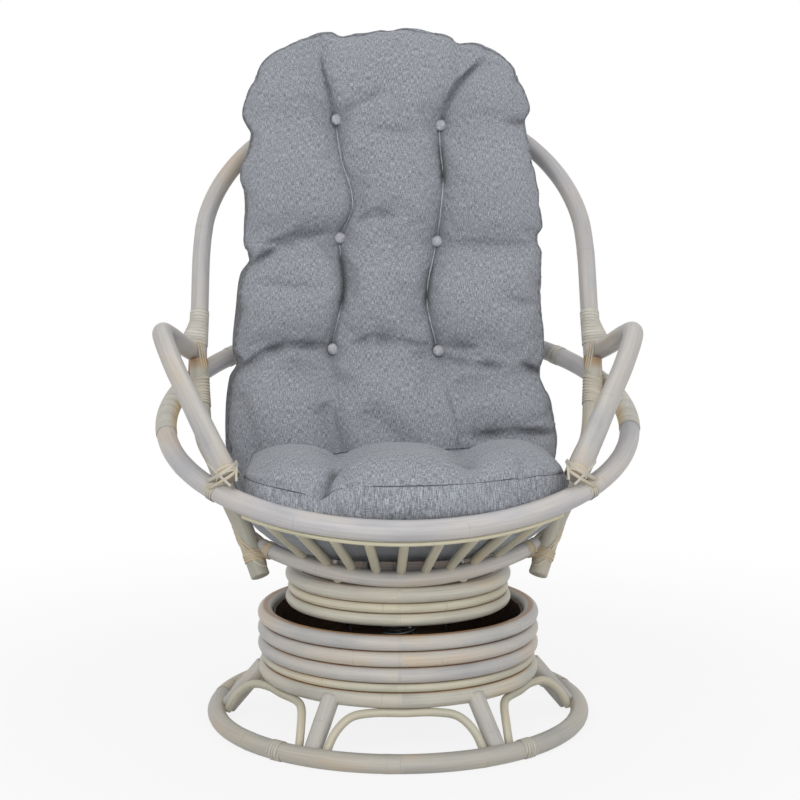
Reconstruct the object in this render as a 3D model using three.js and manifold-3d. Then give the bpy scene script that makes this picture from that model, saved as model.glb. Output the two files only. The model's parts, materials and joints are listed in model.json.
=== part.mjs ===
// Rattan swivel rocker chair: a round drum base on a floor ring, a seat that turns and rocks in it,
// a seat hoop, a bent back hoop, two bent arms and a tufted cushion in two stuffed parts.
// Millimetres, Z up. The front of the chair faces -Y, and the swivel axis is X = Y = 0 while it is
// made. At the end the whole chair is shifted so that the middle of its footprint is the origin.

import * as THREE from 'three';
import { mergeVertices } from 'three/addons/utils/BufferGeometryUtils.js';
import Module from 'manifold-3d';

const wasm = await Module();
wasm.setup();

// Gaps and facets
const fit = 0.3;               // gap where two pieces touch
const tieGap = 1.2;            // room between a pole and the cane wound on it
const lashGap = 2.6;            // and where the cane goes round two bent poles
const ringSteps = 30;          // facets round a ring
const poleSides = 8;           // facets round a thick pole
const caneSides = 6;           // facets round a thin pole

// Floor ring, legs and bows
const floorRingRadius = 278;
const floorPole = 13.7;        // radius of the floor ring's pole
const footCount = 6;
const baseTurn = THREE.MathUtils.degToRad(0.9);   // how far the base is turned under the seat
const legPole = 13;
const legTopRadius = 205;      // distance of a leg's top from the axis, in the drum's bottom ring
const footInset = 16;          // the feet stand on the ring's inner shoulder, this far inside its middle
const bowPole = 6.2;
const bowCrownRadius = 203;
const bowAngleShares = [1, 0.93, 0.78, 0.5, 0];
const bowInShares = [0, 0.27, 0.62, 0.93, 1];
const bowRiseShares = [0, 0.57, 0.94, 1, 1];
const bowSteps = 16;

// Base drum
const drumRadius = 202.5;
const drumPole = 11.5;
const drumThinPole = 6.5;
const drumClearance = 68.5;    // height of the drum's underside over the floor
const linerWall = 2.5;
const boardThickness = 12;

// Swivel and rocker mechanism
const steelPlate = 3;
const basePlateSide = 190;
const bearingOuter = 78;
const bearingInner = 48;
const bearingHeight = 7;
const yokePlate = 4;
const yokeWidth = 150;         // across the chair, over the cheeks
const yokeDepth = 150;
const cheekWidth = 46;
const pivotHeight = 150;       // height of the rocking axis over the floor
const pivotBoss = 13;          // radius of the rounded end of a cheek or lug
const pivotShaft = 6;
const pivotHead = 10;
const pivotHeadThickness = 5;
const shaftGap = 0.6;          // running gap between the shaft and its holes
const rockerFrameWidth = 172;
const rockerFrameDepth = 150;
const lugWidth = 46;
const springRadius = 22;       // to the middle of the wire
const springWire = 3;
const springCurls = 5;
const springSteps = 8;         // facets in one curl
const wireSides = 5;
const springOffset = 48;       // distance of a spring in front of or behind the pivot

// Seat drum
const seatDrumGap = 2.5;       // height of its underside over the top of the base drum
const seatDrumLowRadius = 162.6;
const seatDrumLowPole = 9.1;
const seatDrumMidRadius = 160.8;
const seatDrumMidPole = 7.2;
const seatDrumTopRadius = 159.7;
const seatDrumTopPole = 12;

// Seat hoop, front rail and spindles
const seatHoopRadius = 347.5;
const seatHoopPole = 14.7;
const seatHoopTilt = THREE.MathUtils.degToRad(18.9);
const seatHoopHeight = 461;    // height of its centre
const railPole = 11.7;
const railFront = 164;         // distance of the rail's front in front of the axis
const railEndHalf = 205;       // half the distance between its ends
const railEndBack = 59;        // distance of its ends in front of the axis
const railTilt = THREE.MathUtils.degToRad(15);
const railSteps = 20;
const trimPole = 3.2;          // thin cane hoop under the front of the seat hoop
const trimHalfAngle = THREE.MathUtils.degToRad(39);
const trimSteps = 12;
const spindleCount = 9;
const spindlePole = 6.8;
const spindleTopStep = THREE.MathUtils.degToRad(8);
const spindleFootStep = 35.2;  // distance between their feet, nailed on top of the rail

// Side posts
const postPole = 14.3;
const postFootHalf = 206;
const postFootFront = 80;
const postFootHeight = 236;
const postTopFront = 28;       // how far its top stands in front of the back hoop's foot
const postTopDrop = 10;        // depth of its top under the back end of the arm
const postSideShares = [0, 0.15, 0.23, 0.45, 0.69, 0.85, 0.965, 1];
const postBackShares = [0, 0.11, 0.16, 0.27, 0.43, 0.55, 0.87, 1];
const postRiseShares = [0, 0.125, 0.2, 0.342, 0.53, 0.623, 0.815, 1];
const postSteps = 18;

// Back hoop
const backHoopPole = 14.3;
const backHoopBack = 110;      // distance of its feet behind the axis
const backHoopInset = 14.5;    // they stand on the seat hoop this far inside its middle line
const backHoopLean = THREE.MathUtils.degToRad(30.8);
const backHoopStraight = 250;  // length of its straight sides
const backHoopCrown = 280;     // height of its half ellipse, along the lean
const backHoopSteps = 34;

// Arms
const armPole = 14.4;
const armFrontAngle = THREE.MathUtils.degToRad(42);
const armBackRise = 55;        // how far up the back hoop an arm ends
const armSpread = 73;
const armRise = 123;
const armAlongShares = [0.03, 0.165, 0.29, 0.4, 0.52, 0.67, 0.78, 0.95];
const armSpreadShares = [0.05, 0.386, 0.62, 0.85, 1, 0.79, 0.45, 0.04];
const armRiseShares = [0.17, 0.46, 0.64, 0.83, 1, 0.75, 0.45, 0.06];
const armSteps = 24;

// Long ribs that carry the cushion
const ribCount = 5;
const ribPole = 8;
const ribDeckStep = 45;        // distance between ribs over the seat drum
const ribHoopShare = 0.158;    // the same distance at the seat hoop, as a share of its radius,
const ribTopShare = 0.2556;    // and at the back hoop, as a share of its half width
const ribDeckBack = 40;        // where they leave the deck, behind the axis
const ribAcrossShares = [0.35, 0.7];
const ribBackShares = [0.45, 0.77];
const ribRiseShares = [0.17, 0.5];
const ribBowShare = 0.2;       // how far their middles bow towards the back hoop's plane
const ribSteps = 18;

// Cane bindings
const caneWidth = 4.6;
const caneThickness = 1.6;
const caneGap = 1;             // between one turn and the next
const armTieTurns = 3;
const poleTieTurns = 4;
const tieSteps = 12;           // points in one turn
const armTieShare = 0.06;      // where the ties lie along an arm, the back hoop and a post
const backTieShare = 0.08;
const postTieShare = 0.89;

// Cushion, seat part
const seatPadFrontGap = 8;     // between its front edge and the seat hoop
const seatPadBackGap = 27.5;   // and between its back edge and the sides of the back part
const seatPadInset = 121.5;    // how far its sides stay inside the seat hoop, where it bulges over it
const seatPadCorner = 78;
const seatPadFrontDrop = 4.4;  // depth of its front edge under the middle of the seat hoop
const seatPadFrontThickness = 96;
const seatPadRailGap = 10;     // least height of its underside over the front rail
const seatPadRailShare = 0.166;   // and the share of the rise to its front edge that it adds there
const seatPadBackThickness = 155.7;
const seatPadMid = 90;         // it rests on the ribs from this far in front of the axis
const seatPadCrown = 24;
const seatPadChannel = 15;     // depth of its two sewn channels
const seatPadChannelHalf = 87; // half the distance between them
const seatPadRows = 12;

// Cushion, back part
const backPadShift = -11;      // it sits a little to one side, as in the photograph
const backPadSideGap = 6.5;    // between its back corners and the seat hoop that it stands in
const backPadCornerShare = 0.9;   // where those corners lie, as a share of its half width
const backPadTopInset = 77;    // how far its top stays inside the back hoop
const backPadHeight = 1068;
const backPadFootRise = 67.7;  // height of its foot over the ribs on the seat drum
const backPadThickness = 128;
const backPadDish = 46;        // how far its sides come forward, round the sitter
const backPadTopThickness = 96;
const backPadCrown = 26;
const backPadCorner = 120;     // radius of its top corners
const tuftColumnOffset = 84;
const tuftColumnShift = -5;
const tuftDrops = [523, 343, 155];                 // depths of its tufts under its top
const tuftDepth = 34;
const tuftSpread = 34;
const channelDepth = 15;
const channelSpread = 24;
const creaseDepth = 9;
const creaseSpread = 26;
const tuftSpanRows = [8, 6, 6, 8];                 // rows of the mesh below, between and above tufts

// Cushion, both parts
const padGap = 0.7;            // between the cushion and what carries it
const padOuterColumns = 6;     // columns of the mesh outside a channel, and inside it
const padInnerColumns = 3;
const padEndShare = 0.3;       // the thickness that a sewn end keeps
const padBackShare = 0.16;     // the share of its dish by which the back part stands off the ribs
const padDrawShare = 0.8;
const padTuckShare = 0.5;
const edgeSquareness = 5;      // how square the stuffed edges, underside and corners are
const edgeFullness = 0.4;
const bellySquareness = 2.6;
const bellyFullness = 0.6;

// Colours and finishes
function finish(color, roughness, metalness = 0) {
  return new THREE.MeshStandardMaterial({ color, roughness, metalness });
}
const rattan = finish('#b9b2a6', 0.55);
const cane = finish('#d3ccb6', 0.6);
const fabric = finish('#8b8d93', 0.95);
const plywood = finish('#6d5139', 0.7);
const blackSteel = finish('#1d1d1f', 0.45, 0.8);
const zincSteel = finish('#9a9ca0', 0.35, 0.9);

// Solids

// Merges a geometry's vertices and turns its faces outwards.
function closedSolid(geometry) {
  const bare = geometry.clone();
  bare.deleteAttribute('normal');
  bare.deleteAttribute('uv');
  const solid = mergeVertices(bare, 1e-3);
  const position = solid.attributes.position;
  const index = Array.from(solid.index.array);
  const corners = [new THREE.Vector3(), new THREE.Vector3(), new THREE.Vector3()];
  const kept = [];
  let volume = 0;
  for (let i = 0; i < index.length; i += 3) {
    const face = index.slice(i, i + 3);
    if (face[0] === face[1] || face[1] === face[2] || face[2] === face[0]) continue;
    face.forEach((vertex, k) => corners[k].fromBufferAttribute(position, vertex));
    volume += corners[0].dot(corners[1].clone().cross(corners[2]));
    kept.push(face);
  }
  if (volume < 0) kept.forEach((face) => face.reverse());
  solid.setIndex(kept.flat());
  solid.computeVertexNormals();
  return solid;
}

function toManifold(geometry) {
  const solid = closedSolid(geometry);
  const vertProperties = new Float32Array(solid.attributes.position.array);
  const triVerts = new Uint32Array(solid.index.array);
  return new wasm.Manifold(new wasm.Mesh({ numProp: 3, vertProperties, triVerts }));
}

function fromManifold(manifold) {
  const mesh = manifold.getMesh();
  const geometry = new THREE.BufferGeometry();
  geometry.setAttribute('position', new THREE.Float32BufferAttribute(mesh.vertProperties, 3));
  geometry.setIndex(Array.from(mesh.triVerts));
  return closedSolid(geometry);
}

// Cuts the tools out of a solid, such as the coped end of a pole where it meets another.
function cope(geometry, ...tools) {
  let body = toManifold(geometry);
  tools.forEach((tool) => {
    body = body.subtract(toManifold(tool));
  });
  return fromManifold(body);
}

function join(...geometries) {
  let body = toManifold(geometries[0]);
  geometries.slice(1).forEach((geometry) => {
    body = body.add(toManifold(geometry));
  });
  return fromManifold(body);
}

function mirrored(geometry) {
  return closedSolid(geometry.clone().applyMatrix4(new THREE.Matrix4().makeScale(-1, 1, 1)));
}

// Section of a pole: a regular outline whose corners lie on the pole's surface.
function poleSection(radius, sides) {
  const points = [];
  for (let i = 0; i < sides; i += 1) {
    const angle = (2 * Math.PI * i) / sides;
    points.push(new THREE.Vector2(radius * Math.cos(angle), radius * Math.sin(angle)));
  }
  return new THREE.Shape(points);
}

function pole(curve, radius, steps, sides = poleSides) {
  const path = { steps, bevelEnabled: false, extrudePath: curve };
  return closedSolid(new THREE.ExtrudeGeometry(poleSection(radius, sides), path));
}

function straightPole(from, to, radius, sides = poleSides) {
  return pole(new THREE.LineCurve3(from, to), radius, 1, sides);
}

// A full ring of bent pole about the Z axis; turn puts a corner (0) or a flat (0.5) at the bottom.
function ring(radius, section, turn = 0, sides = poleSides) {
  const profile = [];
  for (let i = 0; i <= sides; i += 1) {
    const angle = (2 * Math.PI * (i + turn)) / sides;
    profile.push(new THREE.Vector2(radius + section * Math.cos(angle), section * Math.sin(angle)));
  }
  return closedSolid(new THREE.LatheGeometry(profile, ringSteps).rotateX(Math.PI / 2));
}

// A round plate or tube about the Z axis, its underside at height 0.
function washer(outer, inner, height, steps = ringSteps) {
  const profile = [[inner, 0], [outer, 0], [outer, height], [inner, height]];
  if (inner > 0) profile.push([inner, 0]);
  const points = profile.map(([x, y]) => new THREE.Vector2(x, y));
  return closedSolid(new THREE.LatheGeometry(points, steps).rotateX(Math.PI / 2));
}

function plate(width, depth, height) {
  return new THREE.BoxGeometry(width, depth, height).translate(0, 0, height / 2);
}

// Places that several pieces share

const flatShare = Math.cos(Math.PI / poleSides);   // a pole's flat lies at this share of its radius
const floorRingHeight = floorPole * flatShare;
const footRadius = floorRingRadius - footInset;
const drumPoles = [drumPole, drumThinPole, drumPole, drumPole, drumPole];
const drumTop = stackTop(drumPoles, drumClearance);
const seatDrumBottom = drumTop + seatDrumGap;
const seatDrumPoles = [seatDrumLowPole, seatDrumMidPole, seatDrumTopPole];
const seatDrumTop = stackTop(seatDrumPoles, seatDrumBottom);
const railHeight = seatDrumTop + fit + railPole;
const postTopBack = backHoopBack - postTopFront;
const backHoopHalf = seatHoopHalfAt(backHoopBack) - backHoopInset;
const padRest = seatDrumTop + fit + ribPole + ribPole * Math.cos(Math.PI / caneSides) + padGap;
const seatPadFront = seatHoopRadius * Math.cos(seatHoopTilt) - seatHoopPole - seatPadFrontGap;
const seatPadHalf = seatHoopRadius - seatPadInset;
const seatPadLowHalf = postFootHalf;               // lower down, the side posts hold it in
const backPadFootHeight = padRest + backPadFootRise;
const backPadCorners = seatHoopHalfAt(backPadCornersBack()) - seatHoopPole - backPadSideGap;
const backPadHalf = backPadCorners / backPadCornerShare;
const backPadTopHalf = backHoopHalf - backPadTopInset;
const ribHoopStep = seatHoopRadius * ribHoopShare;
const ribTopStep = backHoopHalf * ribTopShare;
const tuftHeights = tuftDrops.map((drop) => backPadHeight - drop);

// Height over which a stack of rings reaches, each resting on the one below.
function stackTop(poles, bottom) {
  return poles.reduce((height, radius) => height + 2 * radius + fit, bottom) - fit;
}

function stackHeights(poles, bottom) {
  return poles.map((radius, i) => stackTop(poles.slice(0, i + 1), bottom) - radius);
}

// A point at an angle from the front, round the swivel axis.
function roundAxis(angle, radius, height) {
  return new THREE.Vector3(radius * Math.sin(angle), -radius * Math.cos(angle), height);
}

// A point of the seat hoop's centre line.
function onSeatHoop(angle, radius = seatHoopRadius, lift = 0) {
  const point = roundAxis(angle, radius, lift);
  return point.applyAxisAngle(new THREE.Vector3(1, 0, 0), seatHoopTilt).setZ(
    point.z + seatHoopHeight,
  );
}

// Half the width of the seat hoop's middle line, at a distance behind the axis or in front of it.
function seatHoopHalfAt(distance) {
  const along = distance / Math.cos(seatHoopTilt);
  return Math.sqrt(seatHoopRadius * seatHoopRadius - along * along);
}

// A point of the back hoop's plane: across the chair, and up along the lean.
function onBackHoopPlane(across, up) {
  const foot = backHoopFootHeight();
  const back = backHoopBack + up * Math.sin(backHoopLean);
  return new THREE.Vector3(across, back, foot + up * Math.cos(backHoopLean));
}

// The back hoop's feet stand on the seat hoop's centre line, which is where they are cut to it.
function backHoopFootHeight() {
  return seatHoopHeight + backHoopBack * Math.tan(seatHoopTilt);
}

function backHoopCurve() {
  const points = [];
  const quarter = Math.PI / 2;
  const bends = 8;
  points.push(onBackHoopPlane(backHoopHalf, 0));
  points.push(onBackHoopPlane(backHoopHalf, backHoopStraight / 2));
  for (let i = 0; i <= 2 * bends; i += 1) {
    const angle = (quarter * i) / bends;
    const up = backHoopStraight + backHoopCrown * Math.sin(angle);
    points.push(onBackHoopPlane(backHoopHalf * Math.cos(angle), up));
  }
  points.push(onBackHoopPlane(-backHoopHalf, backHoopStraight / 2));
  points.push(onBackHoopPlane(-backHoopHalf, 0));
  return new THREE.CatmullRomCurve3(points);
}

// How far up the lean the back hoop's centre line is, at a place across its crown.
function backHoopUp(across) {
  const share = across / backHoopHalf;
  return backHoopStraight + backHoopCrown * Math.sqrt(1 - share * share);
}

// The rail is a sprung pole, a parabola in a plane that rises to the back.
function railCurve() {
  const spring = 2 * railFront - railEndBack;
  const railPoint = (across, front) => new THREE.Vector3(
    across,
    -front,
    railHeight + (railFront - front) * Math.tan(railTilt),
  );
  return new THREE.QuadraticBezierCurve3(
    railPoint(-railEndHalf, railEndBack),
    railPoint(0, spring),
    railPoint(railEndHalf, railEndBack),
  );
}

// A point of the rail at a distance across the chair.
function onRail(across) {
  return railCurve().getPoint((across / railEndHalf + 1) / 2);
}

// The posts stand against the inner side of the seat hoop.
function postCurve() {
  const topHalf = seatHoopHalfAt(postTopBack) - seatHoopPole - postPole - tieGap;
  const topHeight = onBackHoopPlane(backHoopHalf, armBackRise).z - postTopDrop;
  const points = postSideShares.map((share, i) => new THREE.Vector3(
    postFootHalf + share * (topHalf - postFootHalf),
    -postFootFront + postBackShares[i] * (postTopBack + postFootFront),
    postFootHeight + postRiseShares[i] * (topHeight - postFootHeight),
  ));
  return new THREE.CatmullRomCurve3(points);
}

function armCurve() {
  const front = onSeatHoop(armFrontAngle);
  const back = onBackHoopPlane(backHoopHalf, armBackRise);
  const points = armAlongShares.map((share, i) => {
    const point = front.clone().lerp(back, share);
    point.x += armSpread * armSpreadShares[i];
    point.z += armRise * armRiseShares[i];
    return point;
  });
  return new THREE.CatmullRomCurve3(points);
}

function ribCurve(place) {
  const deck = place * ribDeckStep;
  const height = seatDrumTop + fit + ribPole;
  const hoopAngle = Math.PI - Math.asin((place * ribHoopStep) / seatHoopRadius);
  const hoop = onSeatHoop(hoopAngle);
  const top = onBackHoopPlane(place * ribTopStep, backHoopUp(place * ribTopStep));
  const lean = new THREE.Vector3().subVectors(top, hoop).normalize();
  const off = new THREE.Vector3(0, -lean.z, lean.y).multiplyScalar(
    seatHoopPole + ribPole + 2 * tieGap,
  );
  const pass = hoop.clone().add(off);
  const rise = pass.clone().sub(new THREE.Vector3(deck, ribDeckBack, height));
  const bends = ribAcrossShares.map((share, i) => new THREE.Vector3(
    deck + rise.x * share,
    ribDeckBack + rise.y * ribBackShares[i],
    height + rise.z * ribRiseShares[i],
  ));
  const points = [
    new THREE.Vector3(deck, onRail(deck).y + railPole / 2, height),
    new THREE.Vector3(deck, 0, height),
    new THREE.Vector3(deck, ribDeckBack, height),
    ...bends,
    pass,
    pass.clone().lerp(top, 1 / 2).addScaledVector(off, -ribBowShare),
    top,
  ];
  return new THREE.CatmullRomCurve3(points);
}

// Cane windings

const leastGaps = [];

// Where a plane through a point cuts a straight pole: an ellipse with its centre and half axes.
function poleCut(line, point, normal, gap) {
  const slant = line.along.dot(normal);
  const reach = point.clone().sub(line.at).dot(normal) / slant;
  const centre = line.at.clone().addScaledVector(line.along, reach);
  const major = line.along.clone().addScaledVector(normal, -slant);
  if (major.length() < 1e-6) major.set(normal.y, normal.z, normal.x).cross(normal);
  major.normalize();
  const minor = new THREE.Vector3().crossVectors(normal, major);
  const radius = line.radius + gap + caneThickness / 2;
  return { centre, major, minor, long: radius / Math.abs(slant), short: radius };
}

// The furthest point of an ellipse in a direction.
function furthest(cut, direction) {
  const a = cut.major.dot(direction) * cut.long * cut.long;
  const b = cut.minor.dot(direction) * cut.short * cut.short;
  const size = Math.hypot(cut.major.dot(direction) * cut.long, cut.minor.dot(direction) * cut.short);
  return cut.centre.clone().addScaledVector(cut.major, a / size).addScaledVector(cut.minor, b / size);
}

// A strip of flat cane wound round one pole, or round two that it lashes together.
// The winding's axis is the normal, and its turns lie side by side along it.
function winding(lines, point, normal, turns) {
  const side = new THREE.Vector3(normal.y, normal.z, normal.x).cross(normal).normalize();
  const up = new THREE.Vector3().crossVectors(normal, side);
  const pitch = caneWidth + caneGap;
  const gap = lines.length > 1 ? lashGap : tieGap;
  const middles = [];
  for (let i = 0; i <= turns * tieSteps; i += 1) {
    const angle = (2 * Math.PI * i) / tieSteps;
    const out = side.clone().multiplyScalar(Math.cos(angle)).addScaledVector(up, Math.sin(angle));
    const lift = pitch * (i / tieSteps - turns / 2);
    const centre = point.clone().addScaledVector(normal, lift);
    const found = lines.map((line) => furthest(poleCut(line, centre, normal, gap), out));
    found.sort((a, b) => b.dot(out) - a.dot(out));
    middles.push({ at: found[0], out });
  }
  const route = middles.map((middle) => middle.at);
  leastGaps.push(leastGap(route, tieSteps, caneWidth));
  return stripAlong(middles, normal);
}

// The least gap of a winding or a coil to itself, measured between the points of its turns.
function leastGap(route, stepsInTurn, width) {
  const apart = Math.ceil((2 * stepsInTurn) / 3);
  let least = Infinity;
  route.forEach((point, i) => route.slice(i + apart).forEach((other) => {
    least = Math.min(least, point.distanceTo(other) - width);
  }));
  return least;
}

// Joins four-cornered sections of the cane at each point of its route into one closed strip.
function stripAlong(middles, normal) {
  const vertices = [];
  const faces = [];
  middles.forEach(({ at, out }) => {
    [[-1, -1], [1, -1], [1, 1], [-1, 1]].forEach(([across, thick]) => {
      const corner = at.clone().addScaledVector(normal, (across * caneWidth) / 2);
      corner.addScaledVector(out, (thick * caneThickness) / 2);
      vertices.push(corner.x, corner.y, corner.z);
    });
  });
  for (let i = 0; i + 1 < middles.length; i += 1) {
    for (let k = 0; k < 4; k += 1) {
      const a = 4 * i + k;
      const b = 4 * i + ((k + 1) % 4);
      faces.push(a, b, b + 4, a, b + 4, a + 4);
    }
  }
  const last = vertices.length / 3 - 4;
  faces.push(0, 2, 1, 0, 3, 2, last, last + 1, last + 2, last, last + 2, last + 3);
  const geometry = new THREE.BufferGeometry();
  geometry.setAttribute('position', new THREE.Float32BufferAttribute(vertices, 3));
  geometry.setIndex(faces);
  return closedSolid(geometry);
}

function lineOf(curve, share, radius) {
  return { at: curve.getPointAt(share), along: curve.getTangentAt(share), radius };
}

function seatHoopLine(angle) {
  const ahead = onSeatHoop(angle + 0.01);
  const at = onSeatHoop(angle);
  return { at, along: ahead.sub(at).normalize(), radius: seatHoopPole };
}

// Base: floor ring, legs, bows, drum

function floorRing() {
  return ring(floorRingRadius, floorPole, 0.5).translate(0, 0, floorRingHeight);
}

function floorRingTool() {
  return ring(floorRingRadius, floorPole + fit / flatShare, 0.5).translate(0, 0, floorRingHeight);
}

// A leg at an angle round the base, made in front and cut to the rings as they lie there.
function leg(angle) {
  const drumHeight = drumClearance + drumPole;
  const top = new THREE.Vector3(0, -legTopRadius, drumHeight);
  const foot = new THREE.Vector3(0, -footRadius, floorRingHeight);
  const drumTool = ring(drumRadius, drumPole + fit / flatShare).translate(0, 0, drumHeight);
  const tools = [floorRingTool(), drumTool].map((tool) => tool.rotateZ(-angle));
  return cope(straightPole(top, foot, legPole), ...tools);
}

function bow(angle) {
  const footAngle = Math.PI / footCount - (legPole + bowPole + 2 * tieGap) / footRadius;
  const crown = drumClearance - fit - bowPole;
  const half = bowAngleShares.map((share, i) => roundAxis(
    footAngle * share,
    THREE.MathUtils.lerp(footRadius, bowCrownRadius, bowInShares[i]),
    THREE.MathUtils.lerp(floorRingHeight, crown, bowRiseShares[i]),
  ));
  const mirror = half.slice(0, -1).map((point) => point.clone().setX(-point.x)).reverse();
  const bent = pole(new THREE.CatmullRomCurve3([...half, ...mirror]), bowPole, bowSteps, caneSides);
  return cope(bent, floorRingTool().rotateZ(-angle));
}

// Seat cushions

// Lofts closed sections into one solid. Every section has the same number of points, which go over
// one face and back along the other, so the ends are closed by rungs between the two.
function loft(sections) {
  const count = sections[0].length;
  const vertices = [];
  const faces = [];
  sections.flat().forEach((point) => vertices.push(point.x, point.y, point.z));
  for (let i = 0; i + 1 < sections.length; i += 1) {
    for (let k = 0; k < count; k += 1) {
      const a = i * count + k;
      const b = i * count + ((k + 1) % count);
      faces.push(a, b, b + count, a, b + count, a + count);
    }
  }
  [0, sections.length - 1].forEach((end) => {
    const at = (k) => end * count + (k % count);
    for (let k = 0; k < count / 2; k += 1) {
      const rung = [at(k), at(k + 1), at(count - k - 1), at(count - k)];
      if (end === 0) rung.reverse();
      faces.push(rung[0], rung[1], rung[2], rung[0], rung[2], rung[3]);
    }
  });
  const geometry = new THREE.BufferGeometry();
  geometry.setAttribute('position', new THREE.Float32BufferAttribute(vertices, 3));
  geometry.setIndex(faces);
  return closedSolid(geometry);
}

function bump(distance, spread) {
  return Math.exp(-(distance * distance) / (spread * spread));
}

// A rounded share of the thickness, 1 in the middle of a pad and 0 at its sewn edge.
function edgeRound(share) {
  return Math.pow(Math.max(0, 1 - Math.pow(Math.abs(share), edgeSquareness)), edgeFullness);
}

// Places across a pad, from its right edge to its left, as shares of its half width. They are
// closer together near the edges, and one of them lies on each of its two channels.
function columnShares(channelShare) {
  const half = [];
  for (let i = 0; i < padOuterColumns; i += 1) {
    const out = Math.cos((Math.PI * i) / padOuterColumns / 2);
    half.push(THREE.MathUtils.lerp(channelShare, 1, out));
  }
  for (let i = 0; i < padInnerColumns; i += 1) half.push(channelShare * (1 - i / padInnerColumns));
  return [...half, 0, ...half.map((share) => -share).reverse()];
}

// Half the width of the seat cushion where it lies above the seat hoop.
function seatPadReach(front) {
  const inward = Math.max(0, 1 - (seatPadFront - front) / seatPadCorner);
  return seatPadHalf - seatPadCorner * (1 - Math.sqrt(1 - inward * inward));
}

// Half the width of the seat cushion lower down, where the seat hoop and the posts hold it in.
function seatPadHeld(front) {
  const inside = seatHoopRadius - seatHoopPole - 2 * lashGap;
  const along = front / Math.cos(seatHoopTilt);
  const hoop = Math.sqrt(Math.max(0, inside * inside - along * along));
  return Math.min(seatPadLowHalf, hoop, seatPadReach(front));
}

// The same along the length of a pad, whose sewn ends keep some of their thickness.
function endRound(share) {
  return THREE.MathUtils.lerp(padEndShare, 1, edgeRound(share));
}

// The underside is rounder, because it sags between the front rail's ends.
function bellyRound(share) {
  return Math.pow(1 - Math.pow(Math.abs(share), bellySquareness), bellyFullness);
}

// Height of its underside, which goes from the seat hoop over the front rail to the ribs.
function seatPadUnderside(front) {
  const edge = onSeatHoop(0).z - seatPadFrontDrop;
  const railTop = railHeight + railPole;
  const overRail = railTop + seatPadRailGap + seatPadRailShare * (edge - railTop);
  if (front > railFront) {
    return THREE.MathUtils.mapLinear(front, railFront, seatPadFront, overRail, edge);
  }
  return THREE.MathUtils.mapLinear(Math.max(front, seatPadMid), seatPadMid, railFront, padRest, overRail);
}

function seatPad() {
  const sections = [];
  const foot = backPadMiddle(backPadFootHeight, backPadThickness) - backPadDish;
  const frontTop = seatPadUnderside(seatPadFront) + seatPadFrontThickness;
  for (let i = 0; i <= seatPadRows; i += 1) {
    const share = (1 - Math.cos((Math.PI * i) / seatPadRows)) / 2;
    const front = THREE.MathUtils.lerp(seatPadFront, seatPadBackGap - foot, share);
    const top = THREE.MathUtils.lerp(frontTop, padRest + seatPadBackThickness, share);
    sections.push(seatPadSection(front, top, seatPadUnderside(front), endRound(2 * share - 1)));
  }
  return loft(sections);
}

// One slice across the seat cushion: over the top from right to left, and back underneath.
function seatPadSection(front, top, bottom, full) {
  const middle = (top + bottom) / 2;
  const half = (top - bottom) / 2;
  const held = seatPadHeld(front);
  const shares = columnShares(seatPadChannelHalf / seatPadHalf);
  const over = shares.map((share) => {
    const above = Math.sqrt(Math.sqrt(1 - share * share));
    const x = share * THREE.MathUtils.lerp(held, seatPadReach(front), above);
    const crown = seatPadCrown * Math.cos((share * Math.PI) / 2);
    const valley = seatPadChannel * bump(Math.abs(x) - seatPadChannelHalf, channelSpread);
    const z = middle + (half + crown - valley) * edgeRound(share) * full;
    return new THREE.Vector3(x, -front, z);
  });
  const under = shares.slice(1, -1).reverse().map((share) => {
    const z = middle - half * bellyRound(share) * full;
    return new THREE.Vector3(held * share, -front, z);
  });
  return [...over, ...under];
}

// How far behind the axis the ribs' front faces lie at a height, on the middle rib.
function ribFace(height) {
  const curve = ribCurve(0);
  const points = curve.getPoints(40);
  const above = points.findIndex((point) => point.z > height);
  const next = above < 1 ? points.length - 1 : above;
  const [a, b] = [points[next - 1], points[next]];
  const back = THREE.MathUtils.mapLinear(height, a.z, b.z, a.y, b.y);
  const lean = Math.atan2(b.y - a.y, b.z - a.z);
  return back - ribPole / Math.cos(lean);
}

// How far behind the axis its back corners stand where the seat hoop goes round it.
function backPadCornersBack() {
  const ribs = 2 * (ribPole + tieGap) + padGap;
  const dish = backPadDish * (backPadCornerShare * backPadCornerShare + padBackShare);
  const rounding = (backPadThickness / 2) * (1 - edgeRound(backPadCornerShare));
  return seatHoopRadius * Math.cos(seatHoopTilt) - seatHoopPole - ribs - dish - rounding;
}

// The back cushion's middle: how far behind the axis it lies at a height.
function backPadMiddle(height, thickness) {
  return ribFace(height) - padGap - backPadDish * padBackShare - thickness / 2;
}

// Heights of the rows of its mesh, one of them on each row of tufts, closer at its foot and top.
function backPadHeights() {
  const stops = [backPadFootHeight, ...tuftHeights, backPadHeight];
  const heights = [backPadFootHeight];
  tuftSpanRows.forEach((rows, span) => {
    for (let i = 1; i <= rows; i += 1) {
      let share = i / rows;
      if (span === 0) share = 1 - Math.cos((Math.PI * share) / 2);
      if (span === tuftHeights.length) share = Math.sin((Math.PI * share) / 2);
      heights.push(THREE.MathUtils.lerp(stops[span], stops[span + 1], share));
    }
  });
  return heights;
}

function backPad() {
  return loft(backPadHeights().map((height) => backPadSection(height)));
}

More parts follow.
